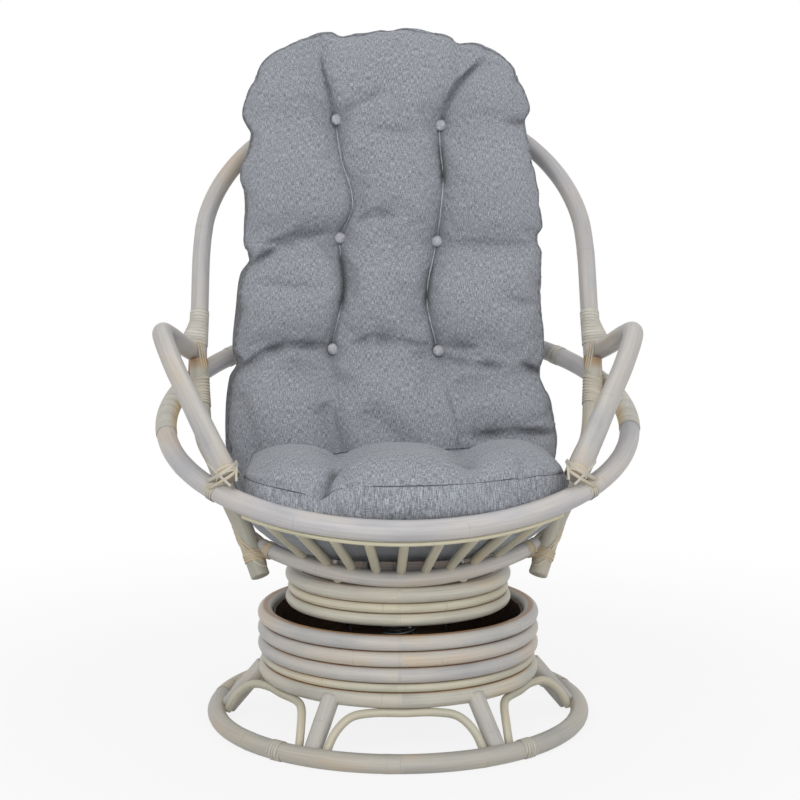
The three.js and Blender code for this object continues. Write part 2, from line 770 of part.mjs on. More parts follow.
// One level slice of the back cushion: over the front from right to left, and back behind.
function backPadSection(height) {
  const share = THREE.MathUtils.inverseLerp(backPadFootHeight, backPadHeight, height);
  const full = endRound(2 * share - 1);
  const corner = Math.max(0, (height - backPadHeight) / backPadCorner + 1);
  const drawn = backPadCorner * (1 - Math.sqrt(1 - Math.pow(corner, bellySquareness)));
  const half = THREE.MathUtils.lerp(backPadHalf, backPadTopHalf, share);
  const crease = Math.max(...tuftHeights.map((row) => bump(height - row, creaseSpread)));
  const width = half - drawn * padDrawShare - backPadCrown * (1 - full) * padTuckShare
    - creaseDepth * crease;
  const thickness = THREE.MathUtils.lerp(backPadThickness, backPadTopThickness, share);
  const middle = backPadMiddle(height, thickness);
  const place = (across, off) => {
    const x = width * across + tuftColumnShift * (1 - across * across);
    return new THREE.Vector3(x + backPadShift, middle - backPadDish * across * across - off, height);
  };
  const shares = columnShares(tuftColumnOffset / half);
  const front = shares.map((across) => {
    const relief = frontRelief(width * across, height, crease);
    return place(across, (thickness / 2 + relief) * edgeRound(across) * full);
  });
  const behind = shares.slice(1, -1).reverse().map((across) => {
    return place(across, (-thickness / 2) * edgeRound(across) * full);
  });
  return [...front, ...behind];
}

// The back cushion's front: crowned, with sewn channels, creases and a deep tuft at each button.
function frontRelief(x, height, crease) {
  const off = Math.abs(x) - tuftColumnOffset;
  const valley = bump(off, channelSpread);
  let relief = backPadCrown - channelDepth * valley - creaseDepth * crease * (1 - valley);
  tuftHeights.forEach((row) => {
    relief -= tuftDepth * bump(Math.hypot(off, height - row), tuftSpread);
  });
  return relief;
}

// Assembly

function named(name, geometry, material) {
  const mesh = new THREE.Mesh(geometry, material);
  mesh.name = name;
  return mesh;
}

function baseFrame() {
  const base = new THREE.Group();
  base.add(named('floor_ring', floorRing(), rattan));
  const feet = new THREE.Group();
  for (let i = 0; i < footCount; i += 1) {
    const archAngle = (2 * Math.PI * i) / footCount;
    const footAngle = (2 * Math.PI * (i + 0.5)) / footCount;
    const arch = named(`bow_${i + 1}`, bow(archAngle), rattan);
    const foot = named(`leg_${i + 1}`, leg(footAngle), rattan);
    arch.rotation.z = archAngle;
    foot.rotation.z = footAngle;
    feet.add(arch, foot);
  }
  base.add(feet);
  stackHeights(drumPoles, drumClearance).forEach((height, i) => {
    const solid = ring(drumRadius, drumPoles[i]).translate(0, 0, height);
    base.add(named(`drum_ring_${i + 1}`, solid, rattan));
  });
  const boardHeight = drumClearance + drumPole - boardThickness / 2;
  const inside = drumRadius - drumPole - fit;
  base.add(named('drum_floor', washer(inside, 0, boardThickness).translate(0, 0, boardHeight), plywood));
  const linerFoot = boardHeight + boardThickness + fit;
  const liner = washer(inside, inside - linerWall, drumTop - drumPole - linerFoot);
  base.add(named('drum_liner', liner.translate(0, 0, linerFoot), plywood));
  base.rotation.z = baseTurn;
  return base;
}

// Heights through the mechanism, from the drum floor up
const plateHeight = drumClearance + drumPole + boardThickness / 2 + fit;
const bearingBottom = plateHeight + steelPlate + fit;
const yokeBottom = bearingBottom + bearingHeight + fit;
const seatBoardBottom = seatDrumBottom + seatDrumLowPole - boardThickness / 2;
const rockerPlateBottom = seatBoardBottom - fit - steelPlate;
const cheekMiddle = yokeWidth / 2 - yokePlate / 2;
const lugMiddle = yokeWidth / 2 + fit + yokePlate / 2;

// A cheek or lug: a straight strip from an edge to a rounded end round the pivot, with its hole.
function ear(width, edgeHeight) {
  const away = Math.sign(edgeHeight - pivotHeight);
  const shape = new THREE.Shape();
  shape.moveTo(-width / 2, edgeHeight);
  shape.lineTo(-pivotBoss, pivotHeight);
  shape.absarc(0, pivotHeight, pivotBoss, Math.PI, 0, away < 0);
  shape.lineTo(width / 2, edgeHeight);
  shape.closePath();
  const hole = new THREE.Path();
  hole.absarc(0, pivotHeight, pivotShaft + shaftGap, 0, 2 * Math.PI, false);
  shape.holes.push(hole);
  const solid = new THREE.ExtrudeGeometry(shape, {
    depth: yokePlate,
    bevelEnabled: false,
    curveSegments: 8,
  });
  const upright = new THREE.Matrix4().makeBasis(
    new THREE.Vector3(0, 1, 0),
    new THREE.Vector3(0, 0, 1),
    new THREE.Vector3(1, 0, 0),
  );
  return solid.translate(0, 0, -yokePlate / 2).applyMatrix4(upright);
}

function yoke() {
  const flat = plate(yokeWidth, yokeDepth, yokePlate).translate(0, 0, yokeBottom);
  const cheek = ear(cheekWidth, yokeBottom + yokePlate / 2);
  return join(
    flat,
    cheek.clone().translate(cheekMiddle, 0, 0),
    cheek.clone().translate(-cheekMiddle, 0, 0),
  );
}

function rockerFrame() {
  const flat = plate(rockerFrameWidth, rockerFrameDepth, steelPlate).translate(0, 0, rockerPlateBottom);
  const lug = ear(lugWidth, rockerPlateBottom + steelPlate / 2);
  return join(
    flat,
    lug.clone().translate(lugMiddle, 0, 0),
    lug.clone().translate(-lugMiddle, 0, 0),
  );
}

function shaft() {
  const half = lugMiddle + yokePlate / 2 + fit;
  const end = half + pivotHeadThickness;
  const profile = [
    [0, -end], [pivotHead, -end], [pivotHead, -half], [pivotShaft, -half],
    [pivotShaft, half], [pivotHead, half], [pivotHead, end], [0, end],
  ].map(([x, y]) => new THREE.Vector2(x, y));
  return closedSolid(new THREE.LatheGeometry(profile, 2 * poleSides).rotateZ(Math.PI / 2)).translate(
    0,
    0,
    pivotHeight,
  );
}

// A coil spring with its wire ends flat against the yoke and the rocker frame.
function spring() {
  const bottom = yokeBottom + yokePlate + fit + springWire;
  const top = rockerPlateBottom - fit - springWire;
  const steps = springSteps * springCurls;
  const points = [];
  for (let i = 0; i <= steps; i += 1) {
    const angle = (2 * Math.PI * i) / springSteps;
    const height = THREE.MathUtils.lerp(bottom, top, i / steps);
    points.push(new THREE.Vector3(springRadius * Math.cos(angle), springRadius * Math.sin(angle), height));
  }
  leastGaps.push(leastGap(points, springSteps, 2 * springWire));
  return pole(new THREE.CatmullRomCurve3(points), springWire, steps, wireSides);
}

function swivelFrame() {
  const turning = new THREE.Group();
  turning.add(named('swivel_yoke', yoke(), blackSteel));
  turning.add(named('pivot_shaft', shaft(), zincSteel));
  const coil = spring();
  const front = named('rocker_spring_front', coil, zincSteel);
  const back = named('rocker_spring_back', coil, zincSteel);
  front.position.y = -springOffset;
  back.position.y = springOffset;
  turning.add(front, back);
  return turning;
}

function spindleCage() {
  const drop = seatHoopPole + fit + trimPole;
  const trimPoints = [];
  for (let i = 0; i <= trimSteps; i += 1) {
    const angle = trimHalfAngle * ((2 * i) / trimSteps - 1);
    trimPoints.push(onSeatHoop(angle).setZ(onSeatHoop(angle).z - drop));
  }
  const parts = [pole(new THREE.CatmullRomCurve3(trimPoints), trimPole, 2 * trimSteps, wireSides)];
  for (let i = 0; i < spindleCount; i += 1) {
    const place = i - (spindleCount - 1) / 2;
    const top = onSeatHoop(place * spindleTopStep);
    const foot = onRail(place * spindleFootStep);
    top.z -= seatHoopPole + fit + spindlePole;
    foot.z += railPole;
    const along = foot.clone().sub(top).normalize();
    top.addScaledVector(along, -trimPole);
    parts.push(straightPole(top, foot, spindlePole, caneSides));
  }
  return cope(join(...parts), railTool());
}

function seatHoop() {
  return ring(seatHoopRadius, seatHoopPole).rotateX(seatHoopTilt).translate(0, 0, seatHoopHeight);
}

function seatHoopTool() {
  const wider = seatHoopPole + fit / flatShare;
  return ring(seatHoopRadius, wider).rotateX(seatHoopTilt).translate(0, 0, seatHoopHeight);
}

function rail() {
  return pole(railCurve(), railPole, railSteps);
}

function railTool() {
  return pole(railCurve(), railPole + fit / flatShare, railSteps);
}

function backHoop() {
  return pole(backHoopCurve(), backHoopPole, backHoopSteps);
}

function backHoopTool() {
  return pole(backHoopCurve(), backHoopPole + fit / flatShare, backHoopSteps);
}

function seatFrame() {
  const seat = new THREE.Group();
  seat.add(named('rocker_frame', rockerFrame(), blackSteel));
  const lowInside = seatDrumLowRadius - seatDrumLowPole - fit;
  const seatBoard = washer(lowInside, 0, boardThickness).translate(0, 0, seatBoardBottom);
  seat.add(named('seat_board', seatBoard, plywood));
  const radii = [seatDrumLowRadius, seatDrumMidRadius, seatDrumTopRadius];
  stackHeights(seatDrumPoles, seatDrumBottom).forEach((height, i) => {
    const solid = ring(radii[i], seatDrumPoles[i]).translate(0, 0, height);
    seat.add(named(`seat_drum_ring_${i + 1}`, solid, rattan));
  });
  const deckHeight = seatDrumTop - seatDrumTopPole - boardThickness / 2;
  const deck = washer(seatDrumTopRadius - seatDrumTopPole - fit, 0, boardThickness);
  seat.add(named('deck_board', deck.translate(0, 0, deckHeight), plywood));
  seat.add(named('seat_hoop', seatHoop(), rattan));
  const post = pole(postCurve(), postPole, postSteps);
  const postTool = pole(postCurve(), postPole + fit / flatShare, postSteps);
  seat.add(named('front_rail', cope(rail(), postTool, mirrored(postTool)), rattan));
  seat.add(named('spindle_cage', spindleCage(), rattan));
  seat.add(named('back_hoop', cope(backHoop(), seatHoopTool()), rattan));
  const arm = cope(pole(armCurve(), armPole, armSteps), seatHoopTool(), backHoopTool());
  seat.add(named('post_right', post, rattan), named('post_left', mirrored(post), rattan));
  seat.add(named('arm_right', arm, rattan), named('arm_left', mirrored(arm), rattan));
  for (let i = 0; i < ribCount; i += 1) {
    const place = i - (ribCount - 1) / 2;
    const bent = pole(ribCurve(place), ribPole, ribSteps, caneSides);
    const solid = cope(bent, backHoopTool(), railTool());
    seat.add(named(`back_rib_${i + 1}`, solid, rattan));
  }
  return seat;
}

// Lashings of the seat frame, one of each kind on each side of the chair
function lashings() {
  const ties = new THREE.Group();
  const hoopLine = seatHoopLine(armFrontAngle);
  const armLine = lineOf(armCurve(), armTieShare, armPole);
  const bisector = hoopLine.along.clone().add(armLine.along).normalize();
  const between = hoopLine.at.clone().lerp(armLine.at, 1 / 2);
  const backLine = lineOf(backHoopCurve(), backTieShare, backHoopPole);
  const postLine = lineOf(postCurve(), postTieShare, postPole);
  const kinds = {
    arm: winding([hoopLine, armLine], between, bisector, armTieTurns),
    back: winding([backLine], backLine.at, backLine.along, poleTieTurns),
    post: winding([postLine], postLine.at, postLine.along, poleTieTurns),
  };
  Object.entries(kinds).forEach(([kind, tie]) => {
    ties.add(named(`${kind}_binding_right`, tie, cane));
    ties.add(named(`${kind}_binding_left`, mirrored(tie), cane));
  });
  return ties;
}

function cushion() {
  const soft = new THREE.Group();
  soft.add(named('seat_cushion', seatPad(), fabric));
  soft.add(named('back_cushion', backPad(), fabric));
  return soft;
}

const mechanism = new THREE.Group();
const basePlate = plate(basePlateSide, basePlateSide, steelPlate).translate(0, 0, plateHeight);
mechanism.add(named('mechanism_plate', closedSolid(basePlate), blackSteel));
const bearing = washer(bearingOuter, bearingInner, bearingHeight).translate(0, 0, bearingBottom);
mechanism.add(named('bearing_ring', bearing, zincSteel));

const group = new THREE.Group();
group.add(baseFrame(), mechanism, swivelFrame(), seatFrame(), lashings(), cushion());
group.updateMatrixWorld(true);
const footprint = new THREE.Box3().setFromObject(group, true).getCenter(new THREE.Vector3());
group.position.set(-footprint.x, -footprint.y, 0);

console.log(`Least gap in a winding or spring: ${Math.min(...leastGaps).toFixed(2)} mm`);

export default group;
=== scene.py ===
# A rattan swivel rocker with a long buttoned cushion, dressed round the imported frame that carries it.
# Metres, Z up. The chair faces -Y. Each section makes one piece, or one group of like pieces.

import json
import math

import bmesh
import bpy
import numpy as np
from mathutils import Matrix, Vector, noise


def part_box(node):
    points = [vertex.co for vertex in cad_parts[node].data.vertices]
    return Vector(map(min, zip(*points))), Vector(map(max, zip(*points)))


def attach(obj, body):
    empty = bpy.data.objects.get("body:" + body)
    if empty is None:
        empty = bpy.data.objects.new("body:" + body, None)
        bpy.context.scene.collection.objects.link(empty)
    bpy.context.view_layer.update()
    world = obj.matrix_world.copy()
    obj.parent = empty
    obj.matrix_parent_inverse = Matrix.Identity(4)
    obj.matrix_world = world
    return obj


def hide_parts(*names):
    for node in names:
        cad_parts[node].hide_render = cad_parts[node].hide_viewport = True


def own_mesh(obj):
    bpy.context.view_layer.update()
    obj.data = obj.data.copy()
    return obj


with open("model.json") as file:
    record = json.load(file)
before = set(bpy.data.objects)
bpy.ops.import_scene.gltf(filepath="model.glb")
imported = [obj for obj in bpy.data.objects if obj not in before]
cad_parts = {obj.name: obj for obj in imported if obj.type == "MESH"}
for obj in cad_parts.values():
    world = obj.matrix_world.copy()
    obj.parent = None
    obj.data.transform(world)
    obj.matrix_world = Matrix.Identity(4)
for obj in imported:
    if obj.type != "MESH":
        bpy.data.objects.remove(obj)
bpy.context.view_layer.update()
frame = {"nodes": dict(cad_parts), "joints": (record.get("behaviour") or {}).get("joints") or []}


# Studio: a pale floor that fades into a white room, four soft lamps, and a camera where the
# photographer stood, a little to the left of the chair and slightly above its arms.
def paint(code):
    """A colour written as #rrggbb, as the linear numbers that a socket takes."""
    parts = [int(code[i:i + 2], 16) / 255 for i in (1, 3, 5)]
    return (*[((c + 0.055) / 1.055) ** 2.4 if c > 0.04045 else c / 12.92 for c in parts], 1)


def add(tree, kind, values=None, out=0, **settings):
    """Adds a node with its settings and its inputs, linked or set, and returns one output."""
    made = tree.nodes.new(kind)
    for name, value in settings.items():
        setattr(made, name, value)
    for name, value in (values or {}).items():
        if isinstance(value, bpy.types.NodeSocket):
            tree.links.new(value, made.inputs[name])
        else:
            made.inputs[name].default_value = value
    return made.outputs[out] if made.outputs else None


def calc(tree, operation, *values):
    return add(tree, "ShaderNodeMath", dict(enumerate(values)), operation=operation)


def vectors(tree, operation, *values, out=0):
    return add(tree, "ShaderNodeVectorMath", dict(enumerate(values)), out, operation=operation)


def blank_material(name):
    made = bpy.data.materials.new(name)
    made.use_nodes = True
    made.node_tree.nodes.clear()
    return made, made.node_tree


def seen_directly(tree):
    """1 for camera, mirror and glass rays, which should meet a white room, and 0 for light."""
    rays = tree.nodes.new("ShaderNodeLightPath").outputs
    some = calc(tree, "MAXIMUM", rays["Is Camera Ray"], rays["Is Glossy Ray"])
    return calc(tree, "MAXIMUM", some, rays["Is Transmission Ray"])


def placed(name, data):
    """An object in the scene that shows this data."""
    made = bpy.data.objects.new(name, data)
    bpy.context.scene.collection.objects.link(made)
    return made


floor_edge = 4.5
floor_white = 0.86          # how much of the floor's own colour gives way to plain white by the chair
floor_fade = (0.45, 1.5)    # and from where to where it gives way altogether
room_light = 0.62

floor_mesh = bpy.data.meshes.new("studio_floor")
floor_mesh.from_pydata([(x * floor_edge, y * floor_edge, 0) for x, y in ((-1, -1), (1, -1), (1, 1), (-1, 1))],
                       [], [(0, 1, 2, 3)])
floor_finish, tree = blank_material("studio_floor")
matt = add(tree, "ShaderNodeBsdfDiffuse", {"Color": paint("#d2d2d2")})
plain = add(tree, "ShaderNodeEmission", {"Color": (1, 1, 1, 1), "Strength": 1.0})
away = vectors(tree, "LENGTH", add(tree, "ShaderNodeTexCoord", out="Object"), out="Value")
fade = add(tree, "ShaderNodeMapRange", {0: away, 1: floor_fade[0], 2: floor_fade[1], 3: floor_white},
           interpolation_type="SMOOTHSTEP")
share = calc(tree, "MULTIPLY", seen_directly(tree), fade)
mixed = add(tree, "ShaderNodeMixShader", {0: share, 1: matt, 2: plain})
add(tree, "ShaderNodeOutputMaterial", {"Surface": mixed})
floor_mesh.materials.append(floor_finish)
floor = placed("studio_floor", floor_mesh)

world = bpy.data.worlds.new("studio")
bpy.context.scene.world = world
world.use_nodes = True
tree = world.node_tree
tree.nodes.clear()
strength = add(tree, "ShaderNodeMapRange", {0: seen_directly(tree), 3: room_light})
sky = add(tree, "ShaderNodeBackground", {"Color": (1, 1, 1, 1), "Strength": strength})
add(tree, "ShaderNodeOutputWorld", {"Surface": sky})

lamps = {                    # place, size and power of each soft lamp
    "key_lamp": ((-1.5, -3.0, 2.1), 1.3, 36),
    "fill_lamp": ((2.3, -2.2, 1.5), 1.8, 15),
    "top_lamp": ((0.2, 0.4, 2.9), 1.6, 12),
    "low_lamp": ((0.3, -3.0, 0.45), 1.2, 15),
}
lamp_aim = Vector((0, 0, 0.5))
for name, (place, size, power) in lamps.items():
    light = bpy.data.lights.new(name, "AREA")
    light.size = size
    light.energy = power
    lamp = placed(name, light)
    lamp.location = place
    lamp.rotation_euler = (lamp_aim - lamp.location).to_track_quat("-Z", "Y").to_euler()

focal_pixels = 1658          # the photograph's focal length, in its own 800 pixels of width
photo_width = 800
sensor = 36
lens_down = math.radians(6.589)
lens_turn = math.radians(-1.6)

camera_data = bpy.data.cameras.new("camera")
camera_data.sensor_width = sensor
camera_data.lens = sensor * focal_pixels / photo_width
camera = placed("camera", camera_data)
camera.location = (-0.0664, -2.5114, 0.772)
camera.rotation_euler = (math.pi / 2 - lens_down, 0, lens_turn)
bpy.context.scene.camera = camera
bpy.context.scene.view_settings.view_transform = "Standard"


# Floor ring: one steamed rattan pole bent to a full circle, which carries the whole chair.
# Its grey-white wash lies thin and uneven over the cane, and runs off where poles touch.
swivel = next(joint for joint in frame["joints"] if joint["name"] == "seat_swivel")
axis = Vector((swivel["pos_m"][0], swivel["pos_m"][1], 0))


def round_axis(angle, radius, height):
    """A point at an angle from the front of the chair, round the swivel axis."""
    return axis + Vector((radius * math.sin(angle), -radius * math.cos(angle), height))


def circle(radius, height, count=200):
    return [round_axis(2 * math.pi * i / count, radius, height) for i in range(count)]


def kept(tree, name, out="Fac"):
    """What the points of a mesh keep under a name."""
    return add(tree, "ShaderNodeAttribute", out=out, attribute_name=name)


def grain(tree, place, stretch, detail):
    """Noise drawn out along a fibre, by how often it changes in a metre each way."""
    return add(tree, "ShaderNodeTexNoise", {"Vector": vectors(tree, "MULTIPLY", place, stretch),
                                            "Scale": 1.0, "Detail": detail, "Roughness": 0.55})


def blend(tree, share, first, second):
    return add(tree, "ShaderNodeMix", {0: share, 6: first, 7: second}, 2, data_type="RGBA")


def ramp(tree, value, stops):
    made = tree.nodes.new("ShaderNodeValToRGB")
    tree.links.new(value, made.inputs[0])
    points = made.color_ramp.elements
    while len(points) < len(stops):
        points.new(0.5)
    for point, (place, code) in zip(points, stops.items()):
        point.position = place
        point.color = paint(code)
    return made.outputs[0]


def between(tree, value, low, high, first=0.0, last=1.0):
    return add(tree, "ShaderNodeMapRange", {0: value, 1: low, 2: high, 3: first, 4: last})


def scaled(tree, colour, tone):
    return add(tree, "ShaderNodeVectorMath", {0: colour, "Scale": tone}, operation="SCALE")


def skin(tree, colour, rough, height, strength, depth, more=None):
    """Ends a material: its colour, how rough it is, and its fine relief by strength and depth."""
    bump = add(tree, "ShaderNodeBump", {"Height": height, "Strength": strength, "Distance": depth})
    shown = add(tree, "ShaderNodeBsdfPrincipled", {"Base Color": colour, "Roughness": rough,
                                                   "Normal": bump, **(more or {})})
    add(tree, "ShaderNodeOutputMaterial", {"Surface": shown})


def rattan_material():
    """Grey wash over cane, by cloud, streak and fibre, with a broken scar at each knot, and a factor per
    piece that paints light and shade on it.
    """
    made, tree = blank_material("washed_rattan")
    pole = kept(tree, "pole", "Vector")
    bare = kept(tree, "bare")
    clouds = grain(tree, pole, (16, 16, 6), 3)
    streaks = grain(tree, pole, (330, 330, 7), 4)
    fibres = grain(tree, pole, (1500, 1500, 26), 2)
    wash = ramp(tree, clouds, {0.3: "#a3a2a6", 0.44: "#b3b1b2", 0.56: "#bbb6b1", 0.7: "#c3b3a1"})
    thin_wash = ramp(tree, clouds, {0.3: "#afac90", 0.5: "#c1bca3", 0.7: "#cbbda3"})
    natural = ramp(tree, streaks, {0.3: "#6f4a2a", 0.5: "#94693d", 0.7: "#b88d5a"})
    shade = between(tree, streaks, 0.3, 0.7, 0.89, 1.08)
    thread = between(tree, fibres, 0.3, 0.7, 0.95, 1.04)
    # Painted light and shade: each piece is darkened by its value, or lightened where the value is below 0,
    # for how the light falls on it, and partly for its own tone.
    painted_light_shade_and_tone = between(tree, kept(tree, "painted_light_shade_and_tone"), -1, 1, 2, 0)
    tone = calc(tree, "MULTIPLY", calc(tree, "MULTIPLY", shade, thread), painted_light_shade_and_tone)
    patchy = calc(tree, "MULTIPLY_ADD", bare, streaks, -0.18)
    worn = between(tree, calc(tree, "ADD", bare, patchy), 0.15, 1.0)
    along = add(tree, "ShaderNodeSeparateXYZ", {0: pole}, 2)
    share = calc(tree, "FRACT", calc(tree, "MULTIPLY", along, 1 / knot_spacing))
    away = calc(tree, "ABSOLUTE", calc(tree, "SUBTRACT", share, 0.5))
    broken = between(tree, grain(tree, pole, (90, 90, 90), 2), 0.42, 0.56)
    scar = calc(tree, "MULTIPLY", between(tree, away, 0.0, 0.006, 0.32, 0.0), broken)
    colour = scaled(tree, blend(tree, kept(tree, "cream"), wash, thin_wash), tone)
    colour = blend(tree, scar, colour, paint("#8b7a63"))
    skin(tree, blend(tree, worn, colour, natural), between(tree, streaks, 0.3, 0.7, 0.4, 0.56),
         calc(tree, "ADD", streaks, fibres), 0.25, 0.0006, {"Coat Weight": 0.12, "Coat Roughness": 0.3})
    return made


def geometry_tree(name, **inputs):
    """A geometry tree that takes these inputs, what it is given, and its mesh as a curve."""
    tree = bpy.data.node_groups.new(name, "GeometryNodeTree")
    for socket, kind in {"Geometry": "Geometry", **inputs}.items():
        tree.interface.new_socket(socket, in_out="INPUT", socket_type="NodeSocket" + kind)
    tree.interface.new_socket("Geometry", in_out="OUTPUT", socket_type="NodeSocketGeometry")
    given = tree.nodes.new("NodeGroupInput").outputs
    return tree, given, add(tree, "GeometryNodeMeshToCurve", {0: given["Geometry"]})


def stored(tree, geometry, name, value, kind="FLOAT"):
    return add(tree, "GeometryNodeStoreNamedAttribute", {"Geometry": geometry, "Name": name, "Value": value},
               data_type=kind, domain="POINT")


def named(tree, name, kind="FLOAT"):
    return add(tree, "GeometryNodeInputNamedAttribute", {0: name}, data_type=kind)


def swept_along(tree, line, along, section, more=None):
    """Sweeps a section along a line. Its points keep where they would be in the straight pole."""
    line = stored(tree, line, "along", along)
    section = stored(tree, section, "round", add(tree, "GeometryNodeInputPosition"), "FLOAT_VECTOR")
    swept = add(tree, "GeometryNodeCurveToMesh", {"Curve": line, "Profile Curve": section,
                                                  "Fill Caps": True, **(more or {})})
    lift = add(tree, "ShaderNodeCombineXYZ", {2: named(tree, "along")})
    place = vectors(tree, "ADD", named(tree, "round", "FLOAT_VECTOR"), lift)
    return stored(tree, swept, "pole", place, "FLOAT_VECTOR")


def close_tree(tree, geometry, material):
    """Ends a tree as every tree here ends: smooth faces, real ones, and their material."""
    smooth = add(tree, "GeometryNodeSetShadeSmooth", {0: geometry})
    real = add(tree, "GeometryNodeRealizeInstances", {0: smooth})
    add(tree, "NodeGroupOutput", {0: add(tree, "GeometryNodeSetMaterial", {0: real, "Material": material})})
    return tree


def pole_tree():
    """A round pole. It is bare where its own line says, and where a pole above or below touches it."""
    tree, given, line = geometry_tree("bent_pole", Radius="Float", Sides="Int", Start="Float",
                                      Cream="Float", Dull="Float", Contact="Float", Material="Material")
    length = add(tree, "GeometryNodeSplineParameter", out="Length")
    line = stored(tree, line, "middle", add(tree, "GeometryNodeInputPosition"), "FLOAT_VECTOR")
    section = add(tree, "GeometryNodeCurvePrimitiveCircle", {
        "Resolution": given["Sides"], "Radius": given["Radius"]})
    swept = swept_along(tree, line, calc(tree, "ADD", length, given["Start"]), section,
                        {"Scale": named(tree, "swell")})
    swept = stored(tree, swept, "cloth", named(tree, "pole", "FLOAT_VECTOR"), "FLOAT_VECTOR")
    swept = stored(tree, swept, "cream", given["Cream"])
    # the piece's factor of painted light and shade, kept on its points for the material
    swept = stored(tree, swept, "painted_light_shade_and_tone", given["Dull"])
    off = vectors(tree, "SUBTRACT", add(tree, "GeometryNodeInputPosition"),
                  named(tree, "middle", "FLOAT_VECTOR"))
    rise = calc(tree, "ABSOLUTE", add(tree, "ShaderNodeSeparateXYZ", {0: off}, 2))
    rise = calc(tree, "DIVIDE", rise, given["Radius"])
    touch = calc(tree, "MULTIPLY", between(tree, rise, 0.86, 0.97), given["Contact"])
    swept = stored(tree, swept, "bare", calc(tree, "MAXIMUM", touch, named(tree, "bare")))
    return close_tree(tree, swept, given["Material"])


def baked(name, mesh, tree, **inputs):
    """Runs a geometry tree on a mesh and keeps the result as a plain object."""
    piece = placed(name, mesh)
    modifier = piece.modifiers.new("form", "NODES")
    modifier.node_group = tree
    for socket in tree.interface.items_tree:
        if socket.in_out == "INPUT" and socket.name in inputs:
            modifier[socket.identifier] = inputs[socket.name]
    evaluated = piece.evaluated_get(bpy.context.evaluated_depsgraph_get())
    result = bpy.data.meshes.new_from_object(evaluated)
    piece.modifiers.clear()
    piece.data = result
    for vertex in result.vertices:
        vertex.co.z = max(vertex.co.z, 0.0)          # what stands on the floor is worn flat
    return piece


def even(points, spacing, closed=False):
    """The same line, with its points at even distances."""
    line = np.array([tuple(p) for p in points] + ([tuple(points[0])] if closed else []))
    reach = np.concatenate([[0], np.cumsum(np.linalg.norm(np.diff(line, axis=0), axis=1))])
    places = np.linspace(0, reach[-1], max(2, round(reach[-1] / spacing)) + 1)
    spaced = np.stack([np.interp(places, reach, line[:, k]) for k in range(3)], axis=1)
    return [Vector(p) for p in (spaced[:-1] if closed else spaced)]


def kept_by_points(mesh, name, values, kind="FLOAT"):
    made = mesh.attributes.new(name, kind, "POINT")
    made.data.foreach_set("value" if kind == "FLOAT" else "vector", values)


knot_spacing = 0.23          # a rattan stem has a knot about this often
knot_length = 0.005
knot_swell = 0.022
uneven_swell = 0.008
step_along = 0.006           # distance between two sections of a swept pole
cut_edge = ((0.0, 0.02), (0.0001, 0.80), (0.0006, 0.93), (0.002, 1.0))   # a sawn end, rubbed round
rattan = rattan_material()
poles = pole_tree()
made_poles = []


# A pole's last factor darkens it as painted shade, or lightens it as painted light when below 0, partly for
# its own tone.
def bent_pole(name, points, radius, body, stands_for=(), closed=False, cream=0.0, contact=0.0,
              bare=None, sides=24, finish=None, spacing=step_along, girth=None, painted_light_shade_and_tone=0.0):
    """A pole along a line, with its knots, its sawn ends and the places where it is left bare."""
    start = 1.7 * len(made_poles)                    # so that no two poles have the same grain
    made_poles.append(name)
    line = even(points, spacing, closed)
    swells = []
    for i in range(len(line)):
        to_knot = (start + i * spacing) / knot_spacing % 1 - 0.5
        knot = math.exp(-((to_knot * knot_spacing / knot_length) ** 2))
        stem = noise.noise(Vector((start + i * spacing * 9, 0, 0)))
        swell = 1 + knot_swell * knot + uneven_swell * stem
        swells.append(swell * (girth(i / len(line)) if girth else 1))
    if not closed:
        first = (line[1] - line[0]).normalized()
        last = (line[-1] - line[-2]).normalized()
        head = [line[0] + first * along for along, _ in cut_edge]
        tail = [line[-1] - last * along for along, _ in reversed(cut_edge)]
        rims = [size for _, size in cut_edge]
        line = head + line[1:-1] + tail
        swells = rims + swells[1:-1] + rims[::-1]
    count = len(line)
    mesh = bpy.data.meshes.new(name)
    mesh.from_pydata(line, [(i, (i + 1) % count) for i in range(count if closed else count - 1)], [])
    kept_by_points(mesh, "swell", swells)
    kept_by_points(mesh, "bare", [bare(i / (count - 1)) if bare else 0.0 for i in range(count)])
    piece = baked(name, mesh, poles, Radius=radius, Sides=sides, Start=start, Cream=cream, Dull=painted_light_shade_and_tone,
                  Contact=contact, Material=finish or rattan)
    if stands_for:
        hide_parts(*stands_for)
    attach(piece, body)
    return piece


floor_ring_radius = 0.278
floor_pole = 0.0137
floor_ring_height = floor_pole * math.cos(math.pi / 8)      # it rests on the flat worn under it
# The floor ring is darkened a little: partly painted shade, partly its own olive tone.
bent_pole("ring_on_floor", circle(floor_ring_radius, floor_ring_height), floor_pole, "base",
          ["floor_ring"], closed=True, cream=0.35, painted_light_shade_and_tone=0.13)


# Legs and bows: six short splayed legs and six thin rods bent between them. Their feet stand on
# the floor ring's inner shoulder, and their tops are nailed up into the drum's bottom pole.
def through(points, count=60):
    """A smooth bend through points, as a steamed pole takes it (a centripetal Catmull-Rom curve)."""
    known = [Vector(p) for p in points]
    known = [2 * known[0] - known[1], *known, 2 * known[-1] - known[-2]]
    line = []
    for i in range(1, len(known) - 2):
        a, b, c, d = known[i - 1:i + 3]
        before, span, after = [max((q - p).length, 1e-6) ** 0.5 for p, q in ((a, b), (b, c), (c, d))]
        leave = ((b - a) / before - (c - a) / (before + span) + (c - b) / span) * span
        reach = ((c - b) / span - (d - b) / (span + after) + (d - c) / after) * span
        steps = max(2, count // (len(points) - 1))
        for k in range(steps + (i == len(known) - 3)):
            t = k / steps
            line.append(b + leave * t + (3 * (c - b) - 2 * leave - reach) * t * t
                        + (2 * (b - c) + leave + reach) * t ** 3)
    return line


